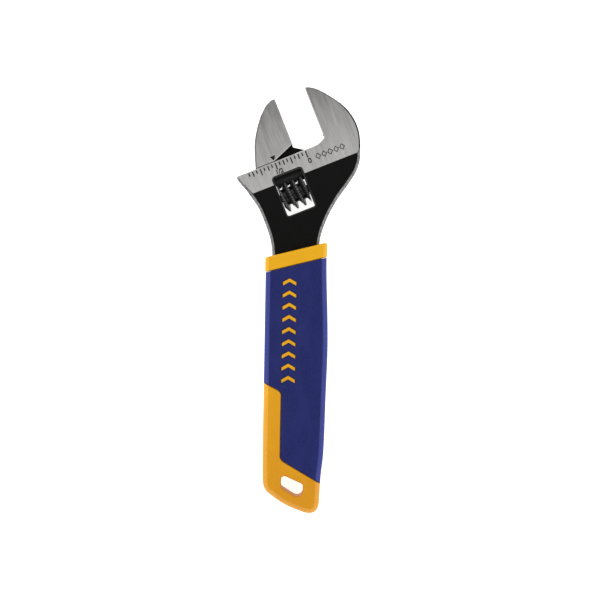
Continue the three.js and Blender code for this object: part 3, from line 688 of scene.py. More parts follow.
def blue_rubber():
    """Soft thermoplastic elastomer moulded over the yellow: matt, with a grain of about
    0.4 mm that keeps it from slipping; scuffed a shade lighter here and there, and painted
    lighter on the long bevels, where the "rim" attribute is high, as painted light on those
    sloping faces."""
    material, tree = blank("overmoulded_blue_elastomer")
    place = in_millimetres(tree)
    cells = {"Vector": place, "Scale": 2.3, "Randomness": 1.0}
    cells = add(tree, "ShaderNodeTexVoronoi", cells)
    grain = add(tree, NOISE, {"Vector": place, "Scale": 2.7, "Detail": 4.0, "Roughness": 0.65})
    drawn = add(tree, VECTOR, {0: place, 1: (0.22, 0.08, 0.22)}, operation="MULTIPLY")
    scuff = add(tree, NOISE, {"Vector": drawn, "Scale": 1.0, "Detail": 3.0, "Roughness": 0.55})
    scuff = add(tree, MAP, {0: scuff, 1: 0.45, 2: 0.75, 3: 0.0, 4: 0.4})
    speckle = add(tree, MAP, {0: grain, 1: 0.35, 2: 0.7, 3: 0.0, 4: 1.0})
    rim = add(tree, "ShaderNodeAttribute", attribute_name="rim").outputs["Fac"]
    colour = linear("#121a56")
    # Painted light: where "rim" is 1, on the sloping bevels, the blue is painted lighter.
    for share, shade in ((speckle, "#222a6c"), (scuff, "#283074"), (rim, "#2c3682")):
        mixed = add(tree, MIX, {0: share, 6: colour, 7: linear(shade)}, data_type="RGBA")
        colour = mixed.outputs[2]
    rough = add(tree, MAP, {0: grain, 1: 0.3, 2: 0.7, 3: 0.55, 4: 0.72})
    relief = add(tree, BUMP, {"Height": cells, "Distance": 0.08 * MM, "Strength": 0.4})
    finer = {"Height": grain, "Distance": 0.06 * MM, "Strength": 0.5, "Normal": relief}
    relief = add(tree, BUMP, finer)
    looks = {"Specular IOR Level": 0.2, "Sheen Weight": 0.02, "Sheen Roughness": 0.5,
             "Base Color": colour, "Roughness": rough, "Normal": relief}
    add(tree, OUTPUT, {"Surface": add(tree, PRINCIPLED, looks)})
    return material


GROUND, BLACK, OXIDE, ENAMEL = ground_steel(), black_steel(), oxide_steel(), enamel()
WIRE, YELLOW, BLUE = spring_steel(), yellow_plastic(), blue_rubber()

# ---------------------------------------------------------------- finishing a piece


def paint(made, shape, lean=lambda level: 1.0):
    """Writes the "rim" attribute, from 0 to 1, at each face's corners: shape(points) in
    millimetres, times lean(level), where level is 1 for a level face and 0 for a wall."""
    mesh = made.data
    points, normals = np.empty(len(mesh.vertices) * 3), np.empty(len(mesh.polygons) * 3)
    corners, sizes = np.empty(len(mesh.loops), np.int32), np.empty(len(mesh.polygons), np.int32)
    mesh.vertices.foreach_get("co", points)
    mesh.polygons.foreach_get("normal", normals)
    mesh.loops.foreach_get("vertex_index", corners)
    mesh.polygons.foreach_get("loop_total", sizes)
    level = np.repeat(np.abs(normals.reshape(-1, 3)[:, 2]), sizes)
    value = shape(points.reshape(-1, 3))[corners] * lean(level)
    attribute = mesh.attributes.new("rim", "FLOAT", "CORNER")
    attribute.data.foreach_set("value", np.clip(value, 0, 1).astype(np.float32))


def off_the_walls(level):
    """1 on flats and bevels, 0 on upright walls, where the black finish doesn't wear."""
    return np.clip((level - 0.12) / 0.28, 0, 1)


def finish_faces(made, materials, choose=lambda centres, normals: np.zeros(len(centres))):
    """Gives each face one of several materials: choose(centres, normals) returns indices."""
    made.data.materials.clear()
    for material in materials:
        made.data.materials.append(material)
    faces = made.data.polygons
    centres, normals = np.empty(len(faces) * 3), np.empty(len(faces) * 3)
    faces.foreach_get("center", centres)
    faces.foreach_get("normal", normals)
    chosen = choose(centres.reshape(-1, 3), normals.reshape(-1, 3))
    faces.foreach_set("material_index", chosen.astype(np.int32))


def crisp_flats(made, level=0.9955):
    """Marks the edges sharp where a flat face of a plate meets its rounded or bevelled rim."""
    bm = bmesh.new()
    bm.from_mesh(made.data)
    for edge in bm.edges:
        if len(edge.link_faces) == 2:
            a, b = (abs(f.normal.z) > level for f in edge.link_faces)
            if a != b:
                edge.smooth = False
    bm.to_mesh(made.data)
    bm.free()


def settle(made, matrix, name, body, slot, *nodes, smooth=30):
    """Puts a finished piece in the row frame and sets it on its body."""
    made.data.transform(matrix)
    made.name = made.data.name = name
    made.data.polygons.foreach_set("use_smooth", [True] * len(made.data.polygons))
    made.data.set_sharp_from_angle(angle=math.radians(smooth))
    crisp_flats(made)
    weighted = made.modifiers.new("weighted", "WEIGHTED_NORMAL")
    weighted.keep_sharp, weighted.weight = True, 100
    evaluated(made)
    made.data.name = name
    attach(made, body)
    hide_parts(*nodes)


# ---------------------------------------------------------------- worm thread


def thread_rule():
    """One helical ridge about the z axis: a four-cornered section swept along a spiral."""
    numbers = ("Root", "Crest", "Root Low", "Crest Low", "Crest High", "Root High", "Pitch",
               "Turns")
    tree, given = rule("worm_thread", {**dict.fromkeys(numbers, "Float"), "Steps": "Int"})
    length = add(tree, MATH, {0: given["Pitch"], 1: given["Turns"]}, operation="MULTIPLY")
    spiral = add(tree, "GeometryNodeCurveSpiral", {
        "Resolution": given["Steps"], "Rotations": given["Turns"], "Start Radius": given["Root"],
        "End Radius": given["Root"], "Height": length, "Reverse": True})
    upright = add(tree, "GeometryNodeSetCurveNormal", {"Curve": spiral}, mode="Z_UP")
    rise = add(tree, MATH, {0: given["Crest"], 1: given["Root"]}, operation="SUBTRACT")
    section = add(tree, "GeometryNodeCurvePrimitiveQuadrilateral", mode="POINTS")
    corners = ((0.0, "Root Low"), (rise, "Crest Low"), (rise, "Crest High"), (0.0, "Root High"))
    for i, (out, along) in enumerate(corners):
        back = add(tree, MATH, {0: given[along], 1: -1.0}, operation="MULTIPLY")
        corner = add(tree, COMBINE, {0: out, 1: back})
        tree.links.new(corner.outputs[0], section.inputs[f"Point {i + 1}"])
    swept = {"Curve": upright, "Profile Curve": section, "Fill Caps": True}
    finish_rule(tree, given, add(tree, "GeometryNodeCurveToMesh", swept))
    return tree


THREAD = thread_rule()


def thread(name, x0, x1, steep=0.0, free=0.0, tip=0.0):
    """The worm's ridge in the head frame, with a crest at WORM_CREST_X where it faces the
    rack. The clearances make it the cutter for teeth that mesh with it."""
    root = WORM_ROOT - 0.4
    rise, half = WORM_RADIUS - root, 0.3
    before = math.floor((x0 - WORM_CREST_X) / WORM_PITCH) - 1
    after = math.ceil((x1 - WORM_CREST_X) / WORM_PITCH) + 1
    made = made_by(
        THREAD, name, OXIDE, Root=root, Crest=WORM_RADIUS + tip,
        Root_Low=-half - rise * math.tan(FREE_FLANK) - free,
        Crest_Low=-half + tip * math.tan(FREE_FLANK) - free,
        Crest_High=half - tip * math.tan(STEEP_FLANK) + steep,
        Root_High=half + rise * math.tan(STEEP_FLANK) + steep,
        Pitch=WORM_PITCH, Turns=float(after - before), Steps=128,
    )
    tidy(placed(made, on_worm_axis(WORM_CREST_X + WORM_PITCH * before)))
    return made


# ---------------------------------------------------------------- scale and marks


def scale_rule():
    """Tick cutters in a row: every Quarter-th is long, every Half-th medium, the rest short."""
    numbers = dict.fromkeys(("Pitch", "Width", "Depth", "Long", "Medium", "Short"), "Float")
    counts = dict.fromkeys(("Count", "Quarter", "Half"), "Int")
    tree, given = rule("scale_ticks", {**numbers, **counts})
    step = add(tree, MATH, {0: given["Pitch"], 1: -1.0}, operation="MULTIPLY")
    run = {"Count": given["Count"], "Offset": add(tree, COMBINE, {0: step})}
    ends = add(tree, "GeometryNodeMeshLine", run, mode="OFFSET")
    index = add(tree, "GeometryNodeInputIndex")
    length = given["Short"]
    for every, value in (("Half", "Medium"), ("Quarter", "Long")):
        rest = add(tree, MATH, {0: index, 1: given[every]}, operation="MODULO")
        whole = add(tree, MATH, {0: rest, 1: 0.5}, operation="LESS_THAN")
        length = add(tree, MIX, {0: whole, 2: length, 3: given[value]}).outputs[0]
    down = add(tree, MATH, {0: length, 1: -0.5}, operation="MULTIPLY")
    middles = {"Geometry": ends, "Offset": add(tree, COMBINE, {1: down})}
    middles = add(tree, "GeometryNodeSetPosition", middles)
    tick = add(tree, "GeometryNodeMeshCube", {"Size": (1, 1, 1)})
    size = add(tree, COMBINE, {0: given["Width"], 1: length, 2: given["Depth"]})
    ticks = {"Points": middles, "Instance": tick, "Scale": size}
    finish_rule(tree, given, add(tree, "GeometryNodeInstanceOnPoints", ticks))
    return tree


def row_rule():
    """Copies of one object in a straight row."""
    tree, given = rule("row_of_marks", {"Item": "Object", "Count": "Int", "Step": "Vector"})
    run = {"Count": given["Count"], "Offset": given["Step"]}
    run = add(tree, "GeometryNodeMeshLine", run, mode="OFFSET")
    item = add(tree, "GeometryNodeObjectInfo", {"Object": given["Item"]}).outputs["Geometry"]
    copies = add(tree, "GeometryNodeInstanceOnPoints", {"Points": run, "Instance": item})
    finish_rule(tree, given, copies)
    return tree


SCALE, ROW = scale_rule(), row_rule()


def row(name, item, count, step, material):
    made = made_by(ROW, name, material, Item=item, Count=count, Step=step)
    bpy.data.objects.remove(item)
    return made


def figure(text, size, x, y, face):
    """A numeral as a cutter, readable from that face of the head."""
    letters = bpy.data.curves.new("figure", "FONT")
    letters.body, letters.size, letters.align_x, letters.align_y = text, size, "CENTER", "CENTER"
    letters.extrude, letters.offset = 1.0, 0.08
    flat_text = linked("figure", letters)
    made = linked("figure", plain_mesh(flat_text))
    bpy.data.objects.remove(flat_text)
    turn = Matrix.Identity(4) if face > 0 else Matrix.Rotation(math.pi, 4, "Y")
    height = face * (HEAD_HALF + letters.extrude - MARK_DEPTH)
    tidy(placed(made, Matrix.Translation((x, y, height)) @ turn))
    return made


def lozenge(x, y, width, height, stroke, face):
    """An outlined lozenge as a cutter."""
    outer = [(width / 2, 0), (0, height / 2), (-width / 2, 0), (0, -height / 2)]
    inner = [(a * (1 - 2 * stroke / width), b * (1 - 2 * stroke / height)) for a, b in outer]
    low, high = sorted((face * (HEAD_HALF - MARK_DEPTH), face * (HEAD_HALF + 1)))
    verts = [(x + a, y + b, z) for z in (low, high) for a, b in (*outer, *inner)]
    faces = []
    for i in range(4):
        j = (i + 1) % 4
        faces += [(i, i + 4, j + 4, j), (i + 8, j + 8, j + 12, i + 12)]
        faces += [(i, j, j + 8, i + 8), (i + 4, i + 12, j + 12, j + 4)]
    return solid("lozenge", verts, faces)


def engraving():
    """Everything cut into the head: inches on the front, millimetres on the back."""
    shape = {"Depth": 2 * MARK_DEPTH, "Long": 2.7, "Medium": 1.95, "Short": 1.4}
    marks = []
    for name, face, count, pitch, width, quarter, half in (
        ("inch_ticks", 1, 16, 25.4 / 16, 0.48, 4, 2),
        ("metric_ticks", -1, 25, 1.0, 0.26, 10, 5),
    ):
        ticks = made_by(SCALE, name, ENAMEL, Count=count, Pitch=pitch, Width=width,
                        Quarter=quarter, Half=half, **shape)
        marks.append(placed(ticks, Matrix.Translation((*SCALE_START, face * HEAD_HALF))))
    marks += [figure("0", 2.8, -8.7, -4.75, 1), figure("1/2", 2.5, -21.3, -4.3, 1)]
    marks += [figure(text, 2.0, x, -4.4, -1) for text, x in (("0", -9), ("10", -19), ("20", -29))]
    for face in (1, -1):
        first = lozenge(-5.0, -4.2, 2.35, 2.7, 0.42, face)
        marks.append(row("lozenges", first, 5, (2.5, 0, 0), ENAMEL))
    return placed(joined("marks", marks), HEAD_TO_HANDLE)


# ---------------------------------------------------------------- forged body


def fixed_jaw_outline():
    """Slanted end, slide with throat, jaw face and outer curve, in the handle frame."""
    run, rise = 5.6, 1.9  # of the throat's arc
    radius = (run**2 + rise**2) / (2 * rise)
    end = in_handle(line((-35.2, -GROUND_DEPTH), (-37.88, -1)))
    corner = in_handle(bend((-37.88, -1), (-37.88, 0), (-37.0, 0), 6))
    slide = in_handle(line((-37.0, 0), (-run, 0)))
    foot = -math.pi / 2
    throat = in_handle(arc((-run, radius), radius, foot, foot + math.asin(run / radius)))
    face = in_handle(line((0, rise), (0, JAW_HEIGHT)))
    outer = in_handle([(0, JAW_HEIGHT)] + curve([
        (0.7, 22.48), (2.2, 21.8), (4.6, 19.9), (7.1, 16.95), (9.7, 13.4), (11.6, 10.1),
        (12.7, 7.0), (13.3, 4.3), (13.48, 1.7), (13.38, -0.6), (12.9, -3.0), (12.12, -5.6),
        (11, -GROUND_DEPTH)]))
    return end, corner + slide + throat, face, outer


def neck_sides():
    """Left and right sides of neck and tang, from the band down to the tang's corner."""
    left = curve([
        in_handle([(-35.2, -GROUND_DEPTH)])[0], (-19.1, 114.6), (-16.7, 111.4), (-15.1, 109.0),
        (-14.0, 106.8), (-12.9, 104.3), (-11.8, 101.6), (-10.8, 98.9), (-9.9, 95.8),
        (-9.35, 92.1), (-9.1, 88.1), (-8.6, 85.6), (-8.0, 83.9)])
    right = curve([
        in_handle([(11, -GROUND_DEPTH)])[0], (24.42, 128.3), (23.8, 125.6), (22.75, 123.1),
        (19.8, 118.4), (16.3, 113.4), (13.1, 107.6), (10.9, 102.4), (9.6, 98.0), (9.0, 93.6),
        (8.75, 88.6), (8.35, 85.8), (8.0, 83.9)])
    return left, right


TANG = line((8, 83.9), (8, 10.2), 2) + [(5, 7.2), (-5, 7.2)] + line((-8, 10.2), (-8, 83.9), 2)


def body_height(q):
    """Half thickness of the forging: ground head, then black neck and tang."""
    x, y = q[:, 0], q[:, 1]
    s = y.copy()
    for _ in range(12):  # settles on the cross line through each point
        s = y - x * np.interp(s, LEVELS, SLANTS)
    v = in_head(q)[:, 1]
    share = np.clip((v + GROUND_DEPTH + GROUND_STEP) / GROUND_STEP, 0, 1)
    return np.interp(s, LEVELS, HALVES) * (1 - share) + HEAD_HALF * share


def forged_body():
    end, slide, face, outer = fixed_jaw_outline()
    left, right = neck_sides()
    outline = closed(end, slide, face, outer, right, TANG, left[::-1])
    x0, x1, y0, y1 = WINDOW
    window = [(x0, y0, 0.8), (x1, y0, 0.8), (x1, y1, 0.8), (x0, y1, 0.8)]
    window = np.array(in_handle(rounded(window)))
    falls = [
        Fall(end, 0.8, 0.7, 0.2), Fall(slide, 0.25, 0.25, 0.7), Fall(face, 0.3, 0.3, 0.7),
        Fall(outer, 0.6, 0.5, 0.6), Fall(left, 1.1, 1.1, 0.3), Fall(right, 1.1, 1.1, 0.3),
        Fall(TANG, 0.8, 0.8, 0.0), Fall(window, 0.7, 0.7, 0.15, True),
    ]
    bands = [in_handle(line((-38, v), (14, v), 0.5))
             for v in (-GROUND_DEPTH, -GROUND_DEPTH - GROUND_STEP)]
    levels = [line((-22, y - 22 * slant), (26, y + 26 * slant), 0.8)
              for y, slant in zip(LEVELS[2:-1], SLANTS[2:-1])]
    made = plate("forged_body", outline, body_height, falls, [window], bands + levels)
    bore, past = RACK_RADIUS + SLIDE_CLEARANCE, -43
    head, shank, shoulder = PIN_HEAD_RADIUS + PIN_CLEARANCE, PIN_RADIUS + PIN_CLEARANCE, -29.98
    slot = [(past, -RACK_DEPTH), (7.15, -RACK_DEPTH), (7.15, -2.5), (4.55, 0.3), (0.6, 3.5),
            (past, 3.5)]
    for cut in (
        turned("bore", [(past, bore), (-RACK_RIGHT + 1.6, bore)], 96, -RACK_DEPTH),
        extruded("slide_slot", slot, -WEB_HALF - SLIDE_CLEARANCE, WEB_HALF + SLIDE_CLEARANCE),
        turned("pin_hole", [(-40, head), (shoulder, head), (shoulder, shank),
                            (PIN_RIGHT + PIN_CLEARANCE, shank)], 64, -WORM_DEPTH),
    ):
        boolean(made, placed(cut, HEAD_TO_HANDLE))
    boolean(made, engraving())
    tidy(made, 1e-5)
    ground_edges = closed(slide, face)

    def choose(centres, normals):
        """Ground steel, black steel, or enamel in the engraved marks."""
        u, v = in_head(centres[:, :2]).T
        z = np.abs(centres[:, 2])
        flat = np.abs(normals[:, 2]) > 0.93
        across = normals[:, :2] @ np.array(slide_dir[:2])
        upward = normals[:, :2] @ np.array(face_dir[:2])
        near = distance(centres[:, :2], ground_edges) < 0.45
        edge = near & ((across < -0.4) | (upward > 0.1) | flat)
        ground = (v > -GROUND_DEPTH - 0.01) & ((flat & (z > 5.2)) | edge)
        in_window = (u > x0 - 0.75) & (u < x1 + 0.75) & (v < y1 + 0.72)
        sunk = (z > HEAD_HALF - 0.16) & (z < HEAD_HALF - 0.004) & ~in_window
        sunk &= (v < -0.45) & (v > -6.6) & (u > -36) & (u < 11.5)
        return np.where(sunk, 2, np.where(ground, 0, 1))

    def rim(co):
        """Grey along the neck's edges, over the whole bevel: partly wear and partly painted light
        on the bevels; faintly worn round the window and up the jaw's back.
        """
        q, z = co[:, :2], np.abs(co[:, 2])
        top = body_height(q)
        d = np.minimum.reduce([distance(q, guide) for guide in (left, right, end)])
        # Partly painted light: the whole neck bevel, not just its edge, is painted grey.
        edge = np.clip((1.09 - d) / 0.1, 0, 1) * np.clip((z - top + 2.2) / 0.9, 0, 1)
        hole = np.clip((0.69 - distance(q, window, True)) / 0.08, 0, 1)
        hole *= np.clip((z - top + 1.2) / 0.5, 0, 1)
        up = np.clip((in_head(q)[:, 1] - 9) / 4, 0, 1)
        band = np.clip((0.7 - distance(q, outer)) / 0.1, 0, 1) * (0.05 + 0.65 * up)
        return np.maximum(np.maximum(edge * 0.8, hole * 0.18), band)

    finish_faces(made, [GROUND, BLACK, ENAMEL], choose)
    paint(made, rim, off_the_walls)
    settle(made, HANDLE, "forged_body", "body", "ground_steel", "wrench_body")


# ---------------------------------------------------------------- sliding jaw


def sliding_jaw():
    opening = -REST_OPENING
    foot = line((-29.6, 0.25), (-21.7, 0.25)) + line((-21.7, 0.25), (opening, TOE_HEIGHT))
    face = line((opening, TOE_HEIGHT), (opening, JAW_HEIGHT))
    tip = line((opening, JAW_HEIGHT), (-14.3, JAW_HEIGHT))
    back = curve([(-14.3, JAW_HEIGHT), (-16.9, 21.5), (-19.0, 19.7), (-20.9, 17.8),
                  (-23.72, 14.0), (-26.15, 9.9), (-27.9, 5.5), (-29.6, 0.25)])
    falls = [Fall(foot, 0.25, 0.2, 0.7), Fall(face, 0.3, 0.3, 0.7), Fall(tip, 0.3, 0.3, 0.7),
             Fall(back, 0.6, 0.45, 0.6)]
    made = plate("sliding_jaw", closed(foot, face, tip, back), flat(HEAD_HALF), falls)
    web = [(-29, -RACK_DEPTH), (RACK_RIGHT, -RACK_DEPTH), (-6.6, -3.4), (-8.8, 0),
           (-12.85, 2.7), (-12.85, 5.9), (-26.6, 5.9)]
    web = extruded("web", web, -WEB_HALF, WEB_HALF)
    e = 0.35  # chamfer at the bar's ends
    ends = [(RACK_LEFT, RACK_RADIUS - e), (RACK_LEFT + e, RACK_RADIUS),
            (RACK_RIGHT - e, RACK_RADIUS), (RACK_RIGHT, RACK_RADIUS - e)]
    bar = turned("rack", ends, 96, -RACK_DEPTH)
    boolean(bar, thread("rack_cutter", RACK_LEFT, RACK_RIGHT, 0.14, 0.42, 0.35))
    boolean(made, web, "UNION")
    boolean(made, bar, "UNION")
    for side in (1, -1):
        z = sorted((side * (HEAD_HALF - POINTER_DEPTH), side * (HEAD_HALF + 1)))
        boolean(made, extruded("pointer", POINTER, *z))
    tidy(made, 1e-5)

    def choose(centres, normals):
        """Ground steel, black steel, or enamel in the pointer."""
        (u, v), z, lean = centres[:, :2].T, np.abs(centres[:, 2]), np.abs(normals[:, 2])
        near = distance(centres[:, :2], closed(foot, face)) < 0.4
        near &= (z > WEB_HALF + 0.05) & (v > 0.1) & (distance(centres[:, :2], back) > 0.45)
        ground = ((lean > 0.93) & (z > 5.2)) | near
        ground |= (np.abs(u + REST_OPENING) < 0.02) & (v > TOE_HEIGHT)
        sunk = (z > HEAD_HALF - 0.13) & (z < HEAD_HALF - 0.004) & (v < 2.35) & (v > 0.4)
        sunk &= (u > -22.9) & (u < -20.5) & ((lean > 0.99) | (lean < 0.02))
        return np.where(sunk, 2, np.where(ground, 0, 1))

    def rim(co):
        """Worn down the jaw's back and, barely, on the teeth."""
        along = np.clip((0.7 - distance(co[:, :2], back)) / 0.1, 0, 1) * 0.7
        radius = np.hypot(co[:, 1] + RACK_DEPTH, co[:, 2])
        teeth = np.clip((radius - RACK_RADIUS + 0.12) / 0.1, 0, 1) * 0.05
        return np.maximum(along * (np.abs(co[:, 2]) > 3), teeth * (co[:, 1] < -RACK_DEPTH - 1))

    finish_faces(made, [GROUND, BLACK, ENAMEL], choose)
    paint(made, rim, off_the_walls)
    settle(made, HEAD, "sliding_jaw", "jaw", "ground_steel", "movable_jaw")


# ---------------------------------------------------------------- worm, pin and spring


def knurl_rule():
    """Long four-cornered cutters standing round the z axis."""
    sizes = dict.fromkeys(("Radius", "Size", "Length"), "Float")
    tree, given = rule("knurl_cutters", {"Count": "Int", **sizes})
    ring = {"Vertices": given["Count"], "Radius": given["Radius"]}
    ring = add(tree, "GeometryNodeMeshCircle", ring)
    cutter = {"Vertices": 4, "Radius": given["Size"], "Depth": given["Length"]}
    cutter = add(tree, "GeometryNodeMeshCylinder", cutter)
    index = add(tree, "GeometryNodeInputIndex")
    part = add(tree, MATH, {0: index, 1: given["Count"]}, operation="DIVIDE")
    angle = add(tree, MATH, {0: part, 1: 2 * math.pi}, operation="MULTIPLY")
    turn = add(tree, COMBINE, {2: angle})
    copies = {"Points": ring, "Instance": cutter, "Rotation": turn}
    finish_rule(tree, given, add(tree, "GeometryNodeInstanceOnPoints", copies))
    return tree


def from_axis(co):
    """Distance of each point from the worm's axis."""
    return np.hypot(co[:, 1] + WORM_DEPTH, co[:, 2])


def adjusting_worm():
    made = thread("adjusting_worm", WORM_LEFT, WORM_RIGHT)
    knurls = made_by(knurl_rule(), "knurls", OXIDE, Count=KNURLS, Size=KNURL_SIZE,
                     Radius=WORM_RADIUS + KNURL_OUT, Length=KNURL_LENGTH)
    tidy(placed(knurls, on_worm_axis((WORM_LEFT + WORM_RIGHT) / 2)))
    boolean(made, knurls, crossing=True)
    core = [(WORM_LEFT - 1, WORM_ROOT), (WORM_RIGHT + 1, WORM_ROOT)]
    boolean(made, turned("core", core, 96, -WORM_DEPTH), "UNION")
    wide, chamfer = WORM_RADIUS + 0.3, 0.5
    envelope = [(WORM_LEFT, wide - chamfer - 0.3), (WORM_LEFT + chamfer, wide),
                (WORM_RIGHT - chamfer, wide), (WORM_RIGHT, wide - chamfer - 0.3)]
    boolean(made, turned("envelope", envelope, 128, -WORM_DEPTH), "INTERSECT")
    bore, pocket = PIN_RADIUS + PIN_CLEARANCE, WORM_RIGHT - SPRING_POCKET
    bore = [(WORM_LEFT - 1, bore), (pocket, bore), (pocket, SPRING_POCKET_RADIUS),
            (WORM_RIGHT + 1, SPRING_POCKET_RADIUS)]
    boolean(made, turned("bore", bore, 64, -WORM_DEPTH))
    tidy(made, 1e-5)
    finish_faces(made, [OXIDE])
    paint(made, lambda co: np.clip((from_axis(co) - WORM_RADIUS + 0.2) / 0.18, 0, 1) * 0.5)
    settle(made, HEAD, "adjusting_worm", "worm", "black_steel", "worm_knurl", smooth=25)


def pivot_pin():
    e, shoulder = 0.3, PIN_LEFT + PIN_HEAD_LENGTH
    profile = [
        (PIN_LEFT, 0.6), (PIN_LEFT, PIN_HEAD_RADIUS - e),
        (PIN_LEFT + e * 0.3, PIN_HEAD_RADIUS - e * 0.3), (PIN_LEFT + e, PIN_HEAD_RADIUS),
        (shoulder, PIN_HEAD_RADIUS), (shoulder, PIN_RADIUS), (PIN_RIGHT - 0.9, PIN_RADIUS),
        (PIN_RIGHT - 0.4, PIN_RADIUS - 0.5)]
    made = turned("pivot_pin", profile, 64, -WORM_DEPTH)
    boolean(made, block("driver_slot", (PIN_LEFT - 1, -WORM_DEPTH - 3.4, -0.4),
                        (PIN_LEFT + 0.9, -WORM_DEPTH + 3.4, 0.4)))
    tidy(made, 1e-5)
    finish_faces(made, [OXIDE])
    paint(made, lambda co: (co[:, 0] < PIN_LEFT + 0.35) * 0.5
          * np.clip((from_axis(co) - 1.8) / 0.5, 0, 1))
    settle(made, HEAD, "pivot_pin", "body", "black_steel", "worm_pin")


def pin_spring():
    """A compression spring as a wire swept along a spiral."""
    sizes = dict.fromkeys(("Radius", "Wire", "Length", "Turns"), "Float")
    tree, given = rule("wire_coil", sizes)
    spiral = add(tree, "GeometryNodeCurveSpiral", {
        "Resolution": 48, "Rotations": given["Turns"], "Start Radius": given["Radius"],
        "End Radius": given["Radius"], "Height": given["Length"], "Reverse": True})
    section = {"Resolution": 16, "Radius": given["Wire"]}
    section = add(tree, "GeometryNodeCurvePrimitiveCircle", section)
    swept = {"Curve": spiral, "Profile Curve": section, "Fill Caps": True}
    finish_rule(tree, given, add(tree, "GeometryNodeCurveToMesh", swept))
    left, right = WORM_RIGHT - SPRING_POCKET + 0.5, WINDOW[1] - 0.375
    made = made_by(tree, "pin_spring", WIRE, Radius=SPRING_RADIUS, Wire=SPRING_WIRE,
                   Length=right - left, Turns=SPRING_TURNS)
    tidy(placed(made, on_worm_axis(left)))
    finish_faces(made, [WIRE])
    settle(made, HEAD, "pin_spring", "body", "spring_steel", "worm_spring", smooth=50)


# ---------------------------------------------------------------- grip


def flat(half):
    """A plate's height function, the same everywhere."""
    return lambda q: np.full(len(q), float(half))


def collar_line(x):
    return COLLAR_TOP + x * math.tan(COLLAR_SLANT)


def tail_line(x):
    return 9.7 - (x + 3.2) * math.tan(TAIL_SLANT)


def grip_outline():
    """The grip's sides and end, from its upper left corner round to its upper right one."""
    return closed(
        line((GRIP_LEFT, 92), (GRIP_LEFT, 18), 0.8),
        curve([(GRIP_LEFT, 18), (-11.62, 9.5), (-11.45, 2.4)]),
        bend((-11.45, 2.4), (-11.38, -0.9), (-9.5, -2.5)),
        curve([(-9.5, -2.5), (-6.1, -5), (-2.2, -7.3), (2.1, -9.1), (5.2, -10.15)]),
        bend((5.2, -10.15), (10.2, -11.3), (10.75, -6.2), 24),
        curve([(10.75, -6.2), (11.2, 4), (12.15, 14.5), (12.65, 36), (13.05, 52), (12.9, 64),
               (12.15, 84.1), (12.15, 96)], 0.6),
    )


OUTLINE = grip_outline()
STRIP_EDGE = -4.65
REGION = rounded([
    (-20, 43, 0), (GRIP_LEFT, 40.6, 2), (STRIP_EDGE, 37, 2.6),
    (STRIP_EDGE, tail_line(STRIP_EDGE), 2.6), (20, tail_line(20), 0), (20, 60, 0), (-20, 60, 0)])


def joint_line(gap):
    """Where the two colours meet, from the left side to the right one, moved towards the
    yellow by the gap."""
    points = np.array(REGION)
    start = np.argmin(np.hypot(points[:, 0] + 20, points[:, 1] - 43))
    points = np.roll(points, -start, 0)
    end = np.argmin(np.hypot(points[:, 0] - 20, points[:, 1] - tail_line(20)))
    points = offset(points[: end + 1], -gap, False)
    right = OUTLINE[OUTLINE[:, 0] > 9]
    right = right[np.argsort(right[:, 1])]

    def keep(q):
        return min(q[0] - GRIP_LEFT, np.interp(q[1], right[:, 1], right[:, 0]) - q[0])

    return part_of([tuple(q) for q in points], keep)


def side_fall():
    return Fall(OUTLINE, 1.9, 2.6, 0.3)


def chevron_loop(y, grow):
    reach, stroke, x = 2.6 + grow, 0.65 + grow, -2.2
    low = y - 1.5
    corners = [(x - reach, low - stroke), (x, y - stroke), (x + reach, low - stroke),
               (x + reach, low + stroke), (x, y + stroke), (x - reach, low + stroke)]
    return np.array(rounded([(*q, 0.16) for q in corners], 0.5))


def core_outline(inset):
    """The yellow core under the cushion, from inside the collar to beyond the tail joint."""
    def keep(q):
        return min(collar_line(q[0]) - 3 - q[1], q[1] - (tail_line(q[0]) - 1.5))

    inner = part_of([tuple(q) for q in offset(OUTLINE, inset, False)], keep)
    left, right = [q for q in inner if q[0] < 0], [q for q in inner if q[0] > 0]
    return closed(left, line(left[-1], right[0], 1.5), right, line(right[-1], left[0], 1.5))


def tang_pocket():
    """The hollow that the tang fills, 0.2 mm larger all round."""
    left, right = (part_of(side, lambda q: 106 - q[1]) for side in neck_sides())
    grown = offset(anticlockwise(closed(right, TANG, left[::-1])), -0.2)
    falls = [
        Fall(offset(right, 0.2, False), 1.1, 1.1, 0.3),
        Fall(offset(left, -0.2, False), 1.1, 1.1, 0.3),
        Fall(offset(TANG, 0.2, False), 0.8, 0.8, 0),
    ]
    return plate("pocket", grown, lambda q: body_height(q) + 0.2, falls)


